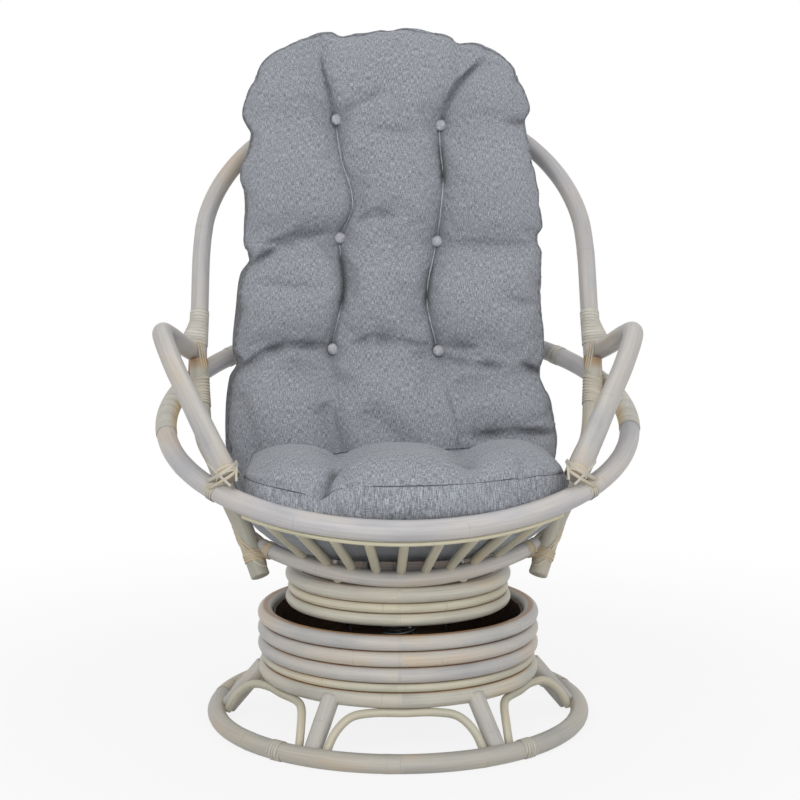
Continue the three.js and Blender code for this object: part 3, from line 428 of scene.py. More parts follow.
base_turn = math.radians(0.9)
leg_pole = 0.013
bow_pole = 0.0062
leg_foot_radius = 0.262
leg_top_radius = 0.205
drum_foot = 0.0685
drum_pole = 0.0115
stack_gap = 0.0003
bow_crown_radius = 0.203
bow_foot_angle = math.radians(25.3)
bow_shape = ((1, 0, 0), (0.93, 0.27, 0.57), (0.78, 0.62, 0.94), (0.5, 0.93, 1), (0, 1, 1))

crown = drum_foot - bow_pole - stack_gap
half_bow = [(bow_foot_angle * aside, leg_foot_radius + (bow_crown_radius - leg_foot_radius) * inward,
             floor_ring_height + (crown - floor_ring_height) * rise) for aside, inward, rise in bow_shape]
whole_bow = half_bow + [(-angle, radius, height) for angle, radius, height in half_bow[-2::-1]]
for i in range(6):
    leg_angle = math.radians(60 * i + 30) + base_turn
    foot = round_axis(leg_angle, leg_foot_radius, floor_ring_height)
    top = round_axis(leg_angle, leg_top_radius, drum_foot + drum_pole)
    bent_pole(f"splayed_leg_{i + 1}", [foot, top], leg_pole, "base", [f"leg_{i + 1}"], cream=0.25,
              bare=lambda share: max(0, 0.4 - 3 * share))
    turn = math.radians(60 * i) + base_turn
    bent_pole(f"bent_bow_{i + 1}", through([round_axis(turn + a, r, h) for a, r, h in whole_bow]),
              bow_pole, "base", [f"bow_{i + 1}"], cream=0.75, sides=16)


# Base drum: five bent poles stacked and nailed into a wall, the second one up thinner, with a
# stained plywood floor and liner inside it.
def grained(name, dark, light, roughness):
    made, tree = blank_material(name)
    along = vectors(tree, "MULTIPLY", add(tree, "ShaderNodeTexCoord", out="Object"), (9, 160, 160))
    lines = add(tree, "ShaderNodeTexNoise", {"Vector": along, "Scale": 1.0, "Detail": 5,
                                             "Distortion": 0.6})
    skin(tree, ramp(tree, lines, {0.32: dark, 0.68: light}), roughness, lines, 0.3, 0.0005)
    return made


def dress(finish, *names):
    """Gives pieces of the frame their finish. Their shape is left alone."""
    for name in names:
        materials = frame["nodes"][name].data.materials
        materials.clear()
        materials.append(finish)


# The rings of a stack share one factor of painted light and shade, given last.
def stack(name, node, radii, sections, foot, body, creams, contact=0.75, painted_light_shade_and_tone=0.0):
    """Poles bent to rings and laid one on the other. Returns the height of the stack's top."""
    for i, (radius, section) in enumerate(zip(radii, sections)):
        bent_pole(f"{name}_{i + 1}", circle(radius, foot + section), section, body,
                  [f"{node}_{i + 1}"], closed=True, cream=creams[i], contact=contact, sides=28, painted_light_shade_and_tone=painted_light_shade_and_tone)
        foot += 2 * section + stack_gap
    return foot - stack_gap


drum_radius = 0.2025
drum_thin_pole = 0.0065
drum_poles = (drum_pole, drum_thin_pole, drum_pole, drum_pole, drum_pole)
drum_top = stack("drum_pole", "drum_ring", [drum_radius] * 5, drum_poles, drum_foot, "base",
                 (0.45, 0.7, 0.1, 0.2, 0.15))
dress(grained("stained_plywood", "#34261b", "#5b4431", 0.62), "drum_floor", "drum_liner")


# Mechanism: pressed steel parts, sprayed black, that let the seat turn and rock. A zinc-plated
# bearing, a shaft through four ears, and a coil spring in front of the shaft and behind it.
def steel(name, code, roughness, metal):
    made, tree = blank_material(name)
    place = add(tree, "ShaderNodeTexCoord", out="Object")
    specks = add(tree, "ShaderNodeTexNoise", {"Vector": place, "Scale": 260.0, "Detail": 3})
    skin(tree, paint(code), between(tree, specks, 0, 1, roughness - 0.1, roughness + 0.1), specks, 0.12,
         0.0003, {"Metallic": metal})
    return made


zinc = steel("zinc_steel", "#a3a5a8", 0.34, 0.9)
dress(steel("black_steel", "#161618", 0.45, 0.4), "mechanism_plate", "swivel_yoke", "rocker_frame")
dress(zinc, "bearing_ring", "pivot_shaft")

spring_radius = 0.022
spring_wire = 0.003
spring_curls = 5
spring_steps = 24            # in each curl
spring_offset = 0.048
spring_low, spring_high = (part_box("rocker_spring_front")[k].z for k in (0, 1))
for name, side in (("front", -1), ("back", 1)):
    coil = []
    for i in range(spring_curls * spring_steps + 1):
        angle = 2 * math.pi * i / spring_steps
        height = spring_low + spring_wire + (spring_high - spring_low - 2 * spring_wire) * i / (
            spring_curls * spring_steps)
        coil.append(axis + Vector((spring_radius * math.cos(angle),
                                   side * spring_offset + spring_radius * math.sin(angle), height)))
    piece = bent_pole(f"coil_spring_{name}", coil, spring_wire, "swivel", [f"rocker_spring_{name}"],
                      sides=12, finish=zinc, spacing=0.004)
    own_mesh(piece)


# Seat drum: three more bent poles, thick at the top and thin in the middle, on a plywood board
# that is bolted to the rocker. A second board closes it under the cushion.
seat_drum_gap = 0.0025
seat_drum_radii = (0.1626, 0.1608, 0.1597)
seat_drum_poles = (0.0091, 0.0072, 0.012)
# The seat drum is lightened as painted light, where the seat hoop shades it.
seat_drum_top = stack("seat_drum_pole", "seat_drum_ring", seat_drum_radii, seat_drum_poles,
                      drum_top + seat_drum_gap, "seat", (0.55, 0.8, 0.45), contact=0.55, painted_light_shade_and_tone=-0.13)
dress(grained("brown_plywood", "#563a26", "#8a6242", 0.55), "seat_board", "deck_board")


# Front rail: a pole sprung across the front of the seat drum. It lies on the drum in the middle
# and climbs on both sides to butt against the side posts.
rail_pole = 0.0117
rail_front = 0.164
rail_end_half = 0.205
rail_end_front = 0.059
rail_slope = math.tan(math.radians(15))
rail_height = seat_drum_top + stack_gap + rail_pole


def on_rail(across):
    """A point of the rail's middle line, which is a parabola in a plane that rises to the back."""
    share = (across / rail_end_half) ** 2
    front = rail_front + (rail_end_front - rail_front) * share
    return axis + Vector((across, -front, rail_height + (rail_front - front) * rail_slope))


bent_pole("sprung_front_rail", [on_rail(rail_end_half * (i / 30 - 1)) for i in range(61)], rail_pole,
          "seat", ["front_rail"], cream=0.15, bare=lambda share: max(0, abs(2 * share - 1) * 8 - 7.2))


# Seat hoop: the thickest pole, a full circle that is low in front and high behind. Nine short
# spindles stand between it and the rail, and a thin peeled cane hides the nails at their tops.
hoop_radius = 0.3475
hoop_pole = 0.0147
hoop_tilt = math.radians(18.9)
hoop_height = 0.461
hoop_turn = Matrix.Rotation(hoop_tilt, 3, "X")


def on_hoop(angle, radius=hoop_radius):
    """A point of the seat hoop's middle line, at an angle from the front."""
    flat = Vector((radius * math.sin(angle), -radius * math.cos(angle), 0))
    return axis + hoop_turn @ flat + Vector((0, 0, hoop_height))


bent_pole("round_seat_hoop", [on_hoop(math.pi + 2 * math.pi * i / 360) for i in range(360)], hoop_pole,
          "seat", ["seat_hoop"], closed=True, sides=32)

spindle_pole = 0.0068
spindle_count = 9
spindle_top_step = math.radians(8)
spindle_foot_step = 0.0352
trim_pole = 0.0032
trim_half = math.radians(39)
for i in range(spindle_count):
    place = i - (spindle_count - 1) / 2
    top = on_hoop(place * spindle_top_step) - Vector((0, 0, hoop_pole))
    foot = on_rail(place * spindle_foot_step) + Vector((0, 0, rail_pole))
    bent_pole(f"spindle_{i + 1}", [foot, top], spindle_pole, "seat", cream=0.8, sides=18,
              bare=lambda share: max(0, 0.35 - 4 * share))
drop = Vector((0, 0, hoop_pole + trim_pole))
bent_pole("peeled_cane_trim", [on_hoop(trim_half * (i / 30 - 1)) - drop for i in range(61)], trim_pole,
          "seat", ["spindle_cage"], cream=1.0, sides=14)


# Side posts: two bent poles tied inside the seat hoop. They reach from below the rail's ends to
# above the hoop, and both of their sawn ends stay in sight.
post_pole = 0.0143
post_foot = Vector((0.206, -0.080, 0.236))
post_top_back = 0.082
post_top_height = 0.5359
post_gap = 0.0012
post_shares = ((0, 0, 0), (0.15, 0.11, 0.125), (0.23, 0.16, 0.2), (0.45, 0.27, 0.342),   # aside, back, up
               (0.69, 0.43, 0.53), (0.85, 0.55, 0.623), (0.965, 0.87, 0.815), (1, 1, 1))
post_end = 0.004             # the rubbed ends stand this much past the nails

behind = post_top_back / hoop_radius / math.cos(hoop_tilt)
post_inset = hoop_radius * (1 - math.sqrt(1 - behind * behind)) + post_gap
post_top = Vector((hoop_radius - hoop_pole - post_pole - post_inset, post_top_back, post_top_height))
post_line = through([axis + Vector([foot + share * (top - foot) for foot, top, share in
                                    zip(post_foot, post_top, shares)]) for shares in post_shares], 140)
post_line[0] += (post_line[0] - post_line[1]).normalized() * post_end
post_line[-1] += (post_line[-1] - post_line[-2]).normalized() * post_end


def mirrored(points):
    return [Vector((-p.x, p.y, p.z)) for p in points]


for side, line in (("right", post_line), ("left", mirrored(post_line))):
    # The posts are darkened as painted shade.
    bent_pole(f"side_post_{side}", line, post_pole, "seat", [f"post_{side}"], cream=0.6, painted_light_shade_and_tone=0.16,
              bare=lambda share: min(0.62, max(0, (share - 0.895) * 16)))


# Back hoop: one tall pole bent to an arch that leans back. Its feet are coped to the seat hoop.
back_pole = 0.0143
back_half = 0.31297
back_foot_back = 0.110
back_lean = math.radians(30.8)
back_straight = 0.250
back_crown = 0.280
back_foot_height = hoop_height + back_foot_back * math.tan(hoop_tilt)


def on_back(across, up):
    """A point of the back hoop's leaning plane: across the chair, and up along the lean."""
    return axis + Vector((across, back_foot_back + up * math.sin(back_lean),
                          back_foot_height + up * math.cos(back_lean)))


arch = [on_back(back_half, up) for up in (0, back_straight / 2)]
for i in range(17):
    angle = math.pi / 16 * i
    arch.append(on_back(back_half * math.cos(angle), back_straight + back_crown * math.sin(angle)))
arch += [on_back(-back_half, up) for up in (back_straight / 2, 0)]
back_line = through(arch, 200)
# The back hoop is darkened a little by the factor that paints light and shade.
bent_pole("tall_back_hoop", back_line, back_pole, "seat", ["back_hoop"], cream=0.04, painted_light_shade_and_tone=0.05,
          bare=lambda share: 0.85 if 0.006 < min(share, 1 - share) < 0.042 else 0)


# Arms: two poles bent to loops that swing out and over, from the front of the seat hoop to the
# back hoop, with the wash worn thin low down in front.
arm_pole = 0.0144
arm_front_angle = math.radians(42)
arm_back_rise = 0.055
arm_spread = 0.073
arm_rise = 0.123
arm_shares = ((0.03, 0.05, 0.17), (0.165, 0.386, 0.46), (0.29, 0.62, 0.64), (0.4, 0.85, 0.83),
              (0.52, 1, 1), (0.67, 0.79, 0.75), (0.78, 0.45, 0.45), (0.95, 0.04, 0.06))  # back, out, up

arm_front = on_hoop(arm_front_angle)
arm_back = on_back(back_half, arm_back_rise)
arm_line = through([arm_front.lerp(arm_back, back) + Vector((arm_spread * out, 0, arm_rise * up))
                    for back, out, up in arm_shares], 150)
for side, line in (("right", arm_line), ("left", mirrored(arm_line))):
    # The arms are darkened a little by the factor that paints light and shade.
    bent_pole(f"bent_arm_{side}", line, arm_pole, "seat", [f"arm_{side}"], cream=0.13, painted_light_shade_and_tone=0.06,
              bare=lambda share: max(0, 0.36 - 1.1 * share),
              girth=lambda share: 1.03 + 0.12 * max(0, 1 - share / 0.4))


# Ribs: five long springy poles that carry the cushion, from the front rail over the seat drum, up
# past the back of the seat hoop and into the back hoop.
rib_pole = 0.008
rib_count = 5
rib_deck_step = 0.045
rib_hoop_step = 0.0549
rib_top_step = 0.080
rib_deck_back = 0.040
rib_gap = 0.0024
rib_bow = 0.2
rib_bends = ((0.35, 0.45, 0.17), (0.7, 0.77, 0.5))
rib_height = seat_drum_top + stack_gap + rib_pole

for i in range(rib_count):
    place = i - (rib_count - 1) / 2
    deck_x = place * rib_deck_step
    pass_at = on_hoop(math.pi - math.asin(place * rib_hoop_step / hoop_radius))
    top_x = place * rib_top_step
    top = on_back(top_x, back_straight + back_crown * math.sqrt(1 - (top_x / back_half) ** 2))
    lean = (top - pass_at).normalized()
    off = Vector((0, -lean.z, lean.y)) * (hoop_pole + rib_pole + rib_gap)
    pass_at = pass_at + off
    leave = axis + Vector((deck_x, rib_deck_back, rib_height))
    rise = pass_at - leave
    line = [
        Vector((deck_x, on_rail(deck_x).y + rail_pole / 2, rib_height)),
        axis + Vector((deck_x, 0, rib_height)),
        leave,
        *[leave + Vector((rise.x * a, rise.y * b, rise.z * c)) for a, b, c in rib_bends],
        pass_at,
        pass_at.lerp(top, 0.5) - off * rib_bow,
        top,
    ]
    bent_pole(f"long_rib_{i + 1}", through(line, 180), rib_pole, "seat", [f"back_rib_{i + 1}"],
              cream=0.6, sides=16)


# Cane bindings: split cane, wound tight round the joints while it is wet, where it hides the nails.
# Its ends are tucked under the turns. It is left as it grew, cream outside and tan where it is old.
def cane_material():
    made, tree = blank_material("binding_cane")
    strip = kept(tree, "pole", "Vector")
    fibres = grain(tree, strip, (1400, 1400, 14), 3)
    lengths = grain(tree, strip, (30, 30, 9), 3)
    pale = ramp(tree, lengths, {0.3: "#aca9a1", 0.5: "#bcb9b0", 0.7: "#cfcbc1"})
    old = ramp(tree, lengths, {0.3: "#8f7048", 0.5: "#bda679", 0.7: "#d0bf9a"})
    colour = blend(tree, kept(tree, "tan"), pale, old)
    skin(tree, scaled(tree, colour, between(tree, fibres, 0.3, 0.7, 0.86, 1.08)),
         between(tree, fibres, 0.3, 0.7, 0.38, 0.55), fibres, 0.3, 0.0004)
    return made


def strip_tree():
    """A flat strip along a line whose points keep which way is out."""
    tree, given, line = geometry_tree("cane_strip", Width="Float", Thickness="Float", Material="Material")
    line = add(tree, "GeometryNodeSetCurveNormal", {
        "Curve": line, "Normal": named(tree, "out", "FLOAT_VECTOR")}, mode="FREE")
    section = add(tree, "GeometryNodeCurvePrimitiveCircle", {"Resolution": 8, "Radius": 0.5})
    size = add(tree, "ShaderNodeCombineXYZ", {0: given["Thickness"], 1: given["Width"], 2: 1.0})
    section = add(tree, "GeometryNodeTransform", {"Geometry": section, "Scale": size})
    length = add(tree, "GeometryNodeSplineParameter", out="Length")
    return close_tree(tree, swept_along(tree, line, length, section), given["Material"])


cane_width = 0.0049
cane_thickness = 0.0012
steps_a_turn = 26
cane = cane_material()
strips = strip_tree()


def strip(name, line, outs, tans, width, body, stands_for=()):
    """A strip of cane along a line, by which way is out and how old it looks at each point."""
    mesh = bpy.data.meshes.new(name)
    mesh.from_pydata(line, [(i, i + 1) for i in range(len(line) - 1)], [])
    kept_by_points(mesh, "out", [part for out in outs for part in out], "FLOAT_VECTOR")
    kept_by_points(mesh, "tan", tans)
    piece = baked(name, mesh, strips, Width=width, Thickness=cane_thickness, Material=cane)
    if stands_for:
        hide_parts(*stands_for)
    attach(piece, body)


def furthest(lines, centre, normal, way):
    """The point furthest one way on the outline that a plane cuts from some poles."""
    best = None
    for point, along, radius in lines:
        tilt = along.dot(normal)
        middle = point + along * ((centre - point).dot(normal) / tilt)
        narrow = normal.cross(along)
        narrow = narrow.normalized() if narrow.length > 1e-5 else normal.orthogonal().normalized()
        wide = normal.cross(narrow)
        long_radius = radius / abs(tilt)
        a = radius * way.dot(narrow)
        b = long_radius * way.dot(wide)
        spot = middle + (narrow * radius * a + wide * long_radius * b) / math.hypot(a, b)
        if best is None or spot.dot(way) > best.dot(way):
            best = spot
    return best


def winding(name, around, turns, body, stands_for=(), tan=0.2, width=cane_width, inner=0.0):
    """Winds a strip round what a function gives for each share of the way: poles and a plane.
    Its colour may be older on the side of the swivel axis."""
    line = []
    outs = []
    tans = []
    steps = round(turns * steps_a_turn)
    for i in range(steps + 1):
        lines, centre, normal = around(i / steps)
        side = normal.cross(Vector((0, 0, 1)))
        side = side.normalized() if side.length > 0.05 else Vector((1, 0, 0))
        up = side.cross(normal).normalized()
        angle = 2 * math.pi * (i / steps_a_turn)
        way = side * math.cos(angle) + up * math.sin(angle)
        line.append(furthest(lines, centre, normal, way) + way * (cane_thickness / 2))
        outs.append(way)
        home = Vector((axis.x - centre.x, axis.y - centre.y, 0)).normalized()
        tans.append(min(1.0, tan + inner * max(0.0, way.dot(home) * 1.5 - 0.5)))
    strip(name, line, outs, tans, width, body, stands_for)


def spot_on(points, distance):
    """The point of a line at a distance from its start, and the way that it runs there."""
    for a, b in zip(points, points[1:]):
        span = (b - a).length
        if distance <= span:
            break
        distance -= span
    return a.lerp(b, distance / span), (b - a).normalized()


def round_one(points, radius, first, last, lean=0.0):
    """Turns round one pole, between two distances along it, leaned in the plane seen from ahead."""
    def around(share):
        point, along = spot_on(points, first + (last - first) * share)
        return [(point, along, radius)], point, Matrix.Rotation(lean, 3, "Y") @ along
    return around


ahead = Vector((0, -1, 0))
tuck = 0.016                 # how far the ends of a strip go in behind
tuck_along = 0.002
pulled_steps = 24


def laid(name, joint, first, last, near, tan, width):
    """A strip pulled tight over poles from one place to another, both told from a joint as seen
    from ahead. Its two ends are tucked away behind."""
    met = []
    for i in range(pulled_steps + 1):
        share = i / pulled_steps
        base = joint + Vector((first[0] + (last[0] - first[0]) * share, 0,
                               first[1] + (last[1] - first[1]) * share))
        best = None
        for point, along, radius in near:
            flat = ahead - along * ahead.dot(along)
            off = base - point
            off = off - along * off.dot(along)
            a = flat.dot(flat)
            b = off.dot(flat)
            inside = b * b - a * (off.dot(off) - radius * radius)
            if inside >= 0:
                reach = (math.sqrt(inside) - b) / a
                best = reach if best is None else max(best, reach)
        if best is not None:
            met.append((share, base, best))
    tight = []
    for spot in met:
        while len(tight) > 1:
            (s0, _, r0), (s1, _, r1) = tight[-2:]
            if (r1 - r0) * (spot[0] - s0) > (spot[2] - r0) * (s1 - s0):
                break
            tight.pop()
        tight.append(spot)
    line = [base + ahead * (reach + cane_thickness / 2) for _, base, reach in tight]
    way = Vector((last[0] - first[0], 0, last[1] - first[1])).normalized()
    line = [line[0] - ahead * tuck - way * tuck_along, *line, line[-1] - ahead * tuck + way * tuck_along]
    line = even(through(line, 60), cane_thickness)
    outs = []
    for before, after in zip([line[0]] + line, line[1:] + [line[-1]]):
        run = (after - before).normalized()
        outs.append((ahead - run * ahead.dot(run) + way * 1e-4).normalized())
    strip(name, line, outs, [tan] * len(line), width, "seat")


hoop_loop = [on_hoop(2 * math.pi * i / 360) for i in range(361)]
arc = hoop_radius * math.radians(1)          # length of a degree of the seat hoop
splices = {"right": (82, 110), "left": (-80, -109)}   # in degrees from the front, where its ends meet
splice_turns = 33
for name, degrees in splices.items():
    first, last = [(angle % 360) * arc for angle in degrees]
    winding(f"hoop_splice_{name}", round_one(hoop_loop, hoop_pole, first, last), splice_turns, "seat",
            tan=0.02, inner=0.9, width=0.0053)


def round_hoop(degrees, half, shift=0.0, lean=0.0):
    """Turns round the seat hoop, to both sides of a place that is told in degrees from the front."""
    middle = (degrees % 360) * arc + shift
    return round_one(hoop_loop, hoop_pole, middle - half, middle + half, lean)


hoop_tie_half = 0.008
for name, sign in (("right", 1), ("left", -1)):      # the cushion's ties go round behind the arms
    winding(f"cushion_tie_{name}", round_hoop(130 * sign, hoop_tie_half), 3, "seat", tan=0.0, width=0.006)

post_tie_turns = 9
post_tie_step = 0.0053
post_tie_low = 0.030         # below the post's top
post_tie_lean = math.radians(14)
back_tie_up = (0.066, 0.126)
flare = 0.020                # of the packing that the lower turns are wound over
flare_way = Vector((0.9, -0.45, 0))
fan_strips = (((0.006, 0.018), (0.015, -0.026)), ((0.009, 0.020), (0.018, -0.024)),
              ((0.012, 0.021), (0.020, -0.020)))
arm_strips = (               # from and to where each strip runs over an arm's foot, its width and tan
    ("crossed", (-0.036, 0.046), (-0.002, 0.021), 0.0040, 0.05),
    ("wide", (-0.036, 0.022), (0.004, 0.047), 0.0056, 0.15),
    ("lower", (-0.034, 0.013), (0.004, 0.037), 0.0046, 0.35),
    ("upright", (0.004, 0.048), (0.006, 0.027), 0.0036, 0.1),
)
beside_arm = 0.034
rail_crossing = 0.012
for side, sign in (("right", 1), ("left", -1)):
    post, arm = [line if sign > 0 else mirrored(line) for line in (post_line, arm_line)]
    last = sum((b - a).length for a, b in zip(post, post[1:])) - post_tie_low
    winding(f"post_tie_{side}", round_one(post, post_pole, last - post_tie_turns * post_tie_step, last,
                                          post_tie_lean * sign), post_tie_turns, "seat",
            [f"post_binding_{side}"], tan=0.25, width=0.0054)

    rise = (on_back(0, 1) - on_back(0, 0)).normalized()
    out = Vector((flare_way.x * sign, flare_way.y, 0))
    out = (out - rise * out.dot(rise)).normalized()

    def flared(share):
        at = on_back(back_half * sign, back_tie_up[0] + (back_tie_up[1] - back_tie_up[0]) * share)
        packing = at + out * flare * (1 - share) ** 1.5
        return [(at, rise, back_pole), (packing, rise, back_pole * 0.8)], at, rise

    winding(f"hoop_tie_{side}", flared, 11, "seat", [f"back_binding_{side}"], tan=0.04, width=0.0056)
    joint = on_back(back_half * sign, arm_back_rise)
    meeting = [(joint, rise, back_pole), (arm[-1], (arm[-1] - arm[-4]).normalized(), arm_pole),
               (post[-1], (post[-1] - post[-4]).normalized(), post_pole)]
    for number, ((x1, z1), (x2, z2)) in enumerate(fan_strips):
        laid(f"arm_fan_{number + 1}_{side}", joint, (-x1 * sign, z1), (-x2 * sign, z2), meeting,
             0.3 + 0.2 * number, 0.0022)

    on_arm, arm_way = spot_on(arm, 0.006)
    joint = on_hoop(arm_front_angle * sign)
    hoop_way = (on_hoop(arm_front_angle * sign + 0.01) - joint).normalized()
    for number, (what, (x1, z1), (x2, z2), width, tan) in enumerate(arm_strips):
        over = cane_thickness * (number % 2)
        laid(f"arm_tie_{what}_{side}", joint, (-x1 * sign, z1), (-x2 * sign, z2),
             [(on_arm, arm_way, arm_pole * 1.15 + over), (joint, hoop_way, hoop_pole + over)], tan, width)
    winding(f"arm_tie_beside_{side}",
            round_hoop(math.degrees(arm_front_angle) * sign, hoop_tie_half, beside_arm * sign, -0.35 * sign),
            3.5, "seat", [f"arm_binding_{side}"])
    winding(f"arm_foot_{side}", round_one(arm, arm_pole * 1.14, 0.001, 0.012), 2.5, "seat", tan=0.45)

    rail_end = on_rail(rail_end_half * sign)
    rail_way = (rail_end - on_rail((rail_end_half - 0.01) * sign)).normalized()
    passed = np.cumsum([0] + [(b - a).length for a, b in zip(post, post[1:])])
    met = passed[min(range(len(post) - 1), key=lambda k: (post[k] - rail_end).length)]
    post_here, post_way = spot_on(post, met)
    winding(f"rail_tie_{side}", round_one(post, post_pole, met - 0.020, met - 0.004, -0.12 * sign), 3.5,
            "seat", tan=0.6)
    across = (rail_way - post_way * (1 if rail_way.dot(post_way) > 0 else -1)).normalized()
    both = [(rail_end, rail_way, rail_pole), (post_here, post_way, post_pole)]
    middle = rail_end.lerp(post_here, 0.5)
    winding(f"rail_cross_{side}", lambda share: (both, middle + across * rail_crossing * (share - 0.5),
                                                 across), 3, "seat", tan=0.5)
    near_end = [rail_end - rail_way * 0.05, rail_end]
    winding(f"rail_loops_{side}", round_one(near_end, rail_pole, 0.022, 0.036), 3, "seat", tan=0.55)

ring_loop = circle(floor_ring_radius, floor_ring_height, 360)
ring_loop.append(ring_loop[0])
ring_arc = floor_ring_radius * math.radians(1)
floor_ties = {               # from and to which angle each is wound, its turns and its tan
    "left": ((-125, -101), 22, 0.35), "right": ((108, 119), 10, 0.15),
    "front_left": ((-41, -37), 4, 0.1), "front_right": ((37, 41), 4, 0.1),
}
for name, (degrees, turns, tan) in floor_ties.items():
    first, last = [(angle % 360) * ring_arc for angle in degrees]
    winding(f"floor_tie_{name}", round_one(ring_loop, floor_pole, first, last), turns, "base", tan=tan)


# Back cushion: two panels of grey woven cloth and a boxing strip between them, sewn with a fine seam
# and stuffed with fibre. Six covered buttons pull it in through its whole thickness.
def cloth_material(name, *greys):
    """Plain weave from dark to light yarn, a little patchy, and darkened by painted shade where its points
    say: in the bottom of a fold, on the boxing and along an edge.
    """
    made, tree = blank_material(name)
    spot = kept(tree, "cloth", "Vector")
    warp = grain(tree, spot, (1350, 130, 130), 1)
    weft = grain(tree, spot, (160, 1350, 160), 1)
    threads = add(tree, "ShaderNodeMix", {0: 0.42, 2: warp, 3: weft})
    patches = between(tree, grain(tree, spot, (9, 9, 9), 3), 0.3, 0.7, 0.965, 1.03)
    # Painted shade: the cloth is darkened by up to 58% where its fold value says.
    dark = between(tree, kept(tree, "fold"), 0, 1, 1, 0.42)
    colour = ramp(tree, threads, dict(zip((0.38, 0.5, 0.62), greys)))
    skin(tree, scaled(tree, colour, calc(tree, "MULTIPLY", patches, dark)), 0.95, threads, 0.5, 0.0011,
         {"Specular IOR Level": 0.2, "Sheen Weight": 0.12, "Sheen Roughness": 0.5})
    return made


def mm(*rows):
    """Rows of millimetres, in metres."""
    return [tuple(number / 1000 for number in row) for row in rows]


def bend(stops, at):
    """A smooth line through (place, value) stops, read at one place."""
    if at <= stops[0][0]:
        return stops[0][1]
    if at >= stops[-1][0]:
        return stops[-1][1]
    i = next(k for k in range(1, len(stops)) if stops[k][0] >= at)

    def slope(k):
        first, last = max(k - 1, 0), min(k + 1, len(stops) - 1)
        return (stops[last][1] - stops[first][1]) / (stops[last][0] - stops[first][0])

    (a, low), (b, high) = stops[i - 1], stops[i]
    t = (at - a) / (b - a)
    rise = high - low
    leave = slope(i - 1) * (b - a)
    reach = slope(i) * (b - a)
    return low + leave * t + (3 * rise - 2 * leave - reach) * t * t + (leave + reach - 2 * rise) * t ** 3


def spans(counts, ends=0.5):
    """Shares from 0 to 1 over several spans, closer together near the ends of each."""
    shares = [0.0]
    for span, count in enumerate(counts):
        for k in range(1, count + 1):
            q = k / count
            shares.append((span + q - ends * math.sin(2 * math.pi * q) / (2 * math.pi)) / len(counts))
    return shares


def evened(values, way):
    """Numbers of a grid, evened out with the four before and the four after them, one way."""
    room = [(0, 0), (0, 0)]
    room[way] = (4, 4)
    wide = np.pad(values, room, mode="edge")
    return sum(np.take(wide, range(k, k + values.shape[way]), axis=way) for k in range(9)) / 9


def sewn_box(name, across, along, deep, place, straight_row):
    """The skin of a stuffed box. A function puts each point of its grid of shares in place. The
    weft of its panels runs straight along one row, and the warp up and down from there."""
    counts = (len(across) - 1, len(along) - 1, deep)
    numbers = {}
    points = []
    sides = []
    for fixed in range(3):
        a, b = [way for way in range(3) if way != fixed]
        for end in (0, counts[fixed]):
            for p in range(counts[a]):
                for q in range(counts[b]):
                    face = []
                    for dp, dq in ((0, 0), (1, 0), (1, 1), (0, 1)):
                        spot = [end] * 3
                        spot[a] = p + dp
                        spot[b] = q + dq
                        face.append(tuple(spot))
                    sides.append((fixed, end, face))
    for _, _, face in sides:
        for i, j, k in face:
            if (i, j, k) not in numbers:
                numbers[i, j, k] = len(points)
                points.append(place(across[i], along[j], k / deep))
    mesh = bpy.data.meshes.new(name)
    mesh.from_pydata(points, [], [[numbers[spot] for spot in face] for _, _, face in sides])

    def laid_flat(level):
        """Where each point of a panel lay when its cloth was flat, by the distances between them."""
        panel = np.array([[tuple(points[numbers[i, j, level]]) for j in range(counts[1] + 1)]
                          for i in range(counts[0] + 1)])
        reaches = []
        for way in (0, 1):
            gaps = np.linalg.norm(np.diff(panel, axis=way), axis=2)
            for _ in range(3):
                gaps = evened(evened(gaps, 0), 1)
            reaches.append(np.insert(np.cumsum(gaps, axis=way), 0, 0, axis=way))
        across_it, along_it = reaches
        middle = counts[0] // 2
        return (across_it - across_it[middle] + panel[middle, :, 0],
                along_it - along_it[:, straight_row][:, None])

    flat = {level: laid_flat(level) for level in (0, deep)}
    thick = (points[numbers[0, counts[1] // 2, deep]] - points[numbers[0, counts[1] // 2, 0]]).length
    values = []
    for fixed, end, face in sides:
        across_it, along_it = flat[end if fixed == 2 else 0]
        for i, j, k in face:             # the boxing's weave runs down it, apart from the panels'
            down = thick * k / deep
            sheets = ((down + 2 + 0.5 * (end > 0), along_it[i, j], 0.5),
                      (across_it[i, j], down + 3 + 0.5 * (end > 0), 0.25),
                      (across_it[i, j], along_it[i, j], 0.1 * (end > 0)))
            values += sheets[fixed]
    mesh.attributes.new("cloth", "FLOAT_VECTOR", "CORNER").data.foreach_set("vector", values)
    form = bmesh.new()
    form.from_mesh(mesh)
    bmesh.ops.recalc_face_normals(form, faces=form.faces)
    for face in form.faces:
        face.smooth = True
    form.to_mesh(mesh)
    form.free()
    mesh.materials.append(cloth_finish)
    return placed(name, mesh), numbers


cloth_give = {"mass": 0.25, "tension_stiffness": 12, "compression_stiffness": 12, "shear_stiffness": 4,
              "bending_stiffness": 0.4, "tension_damping": 8, "compression_damping": 8,
              "shear_damping": 8, "air_damping": 3, "quality": 5, "use_pressure": True}


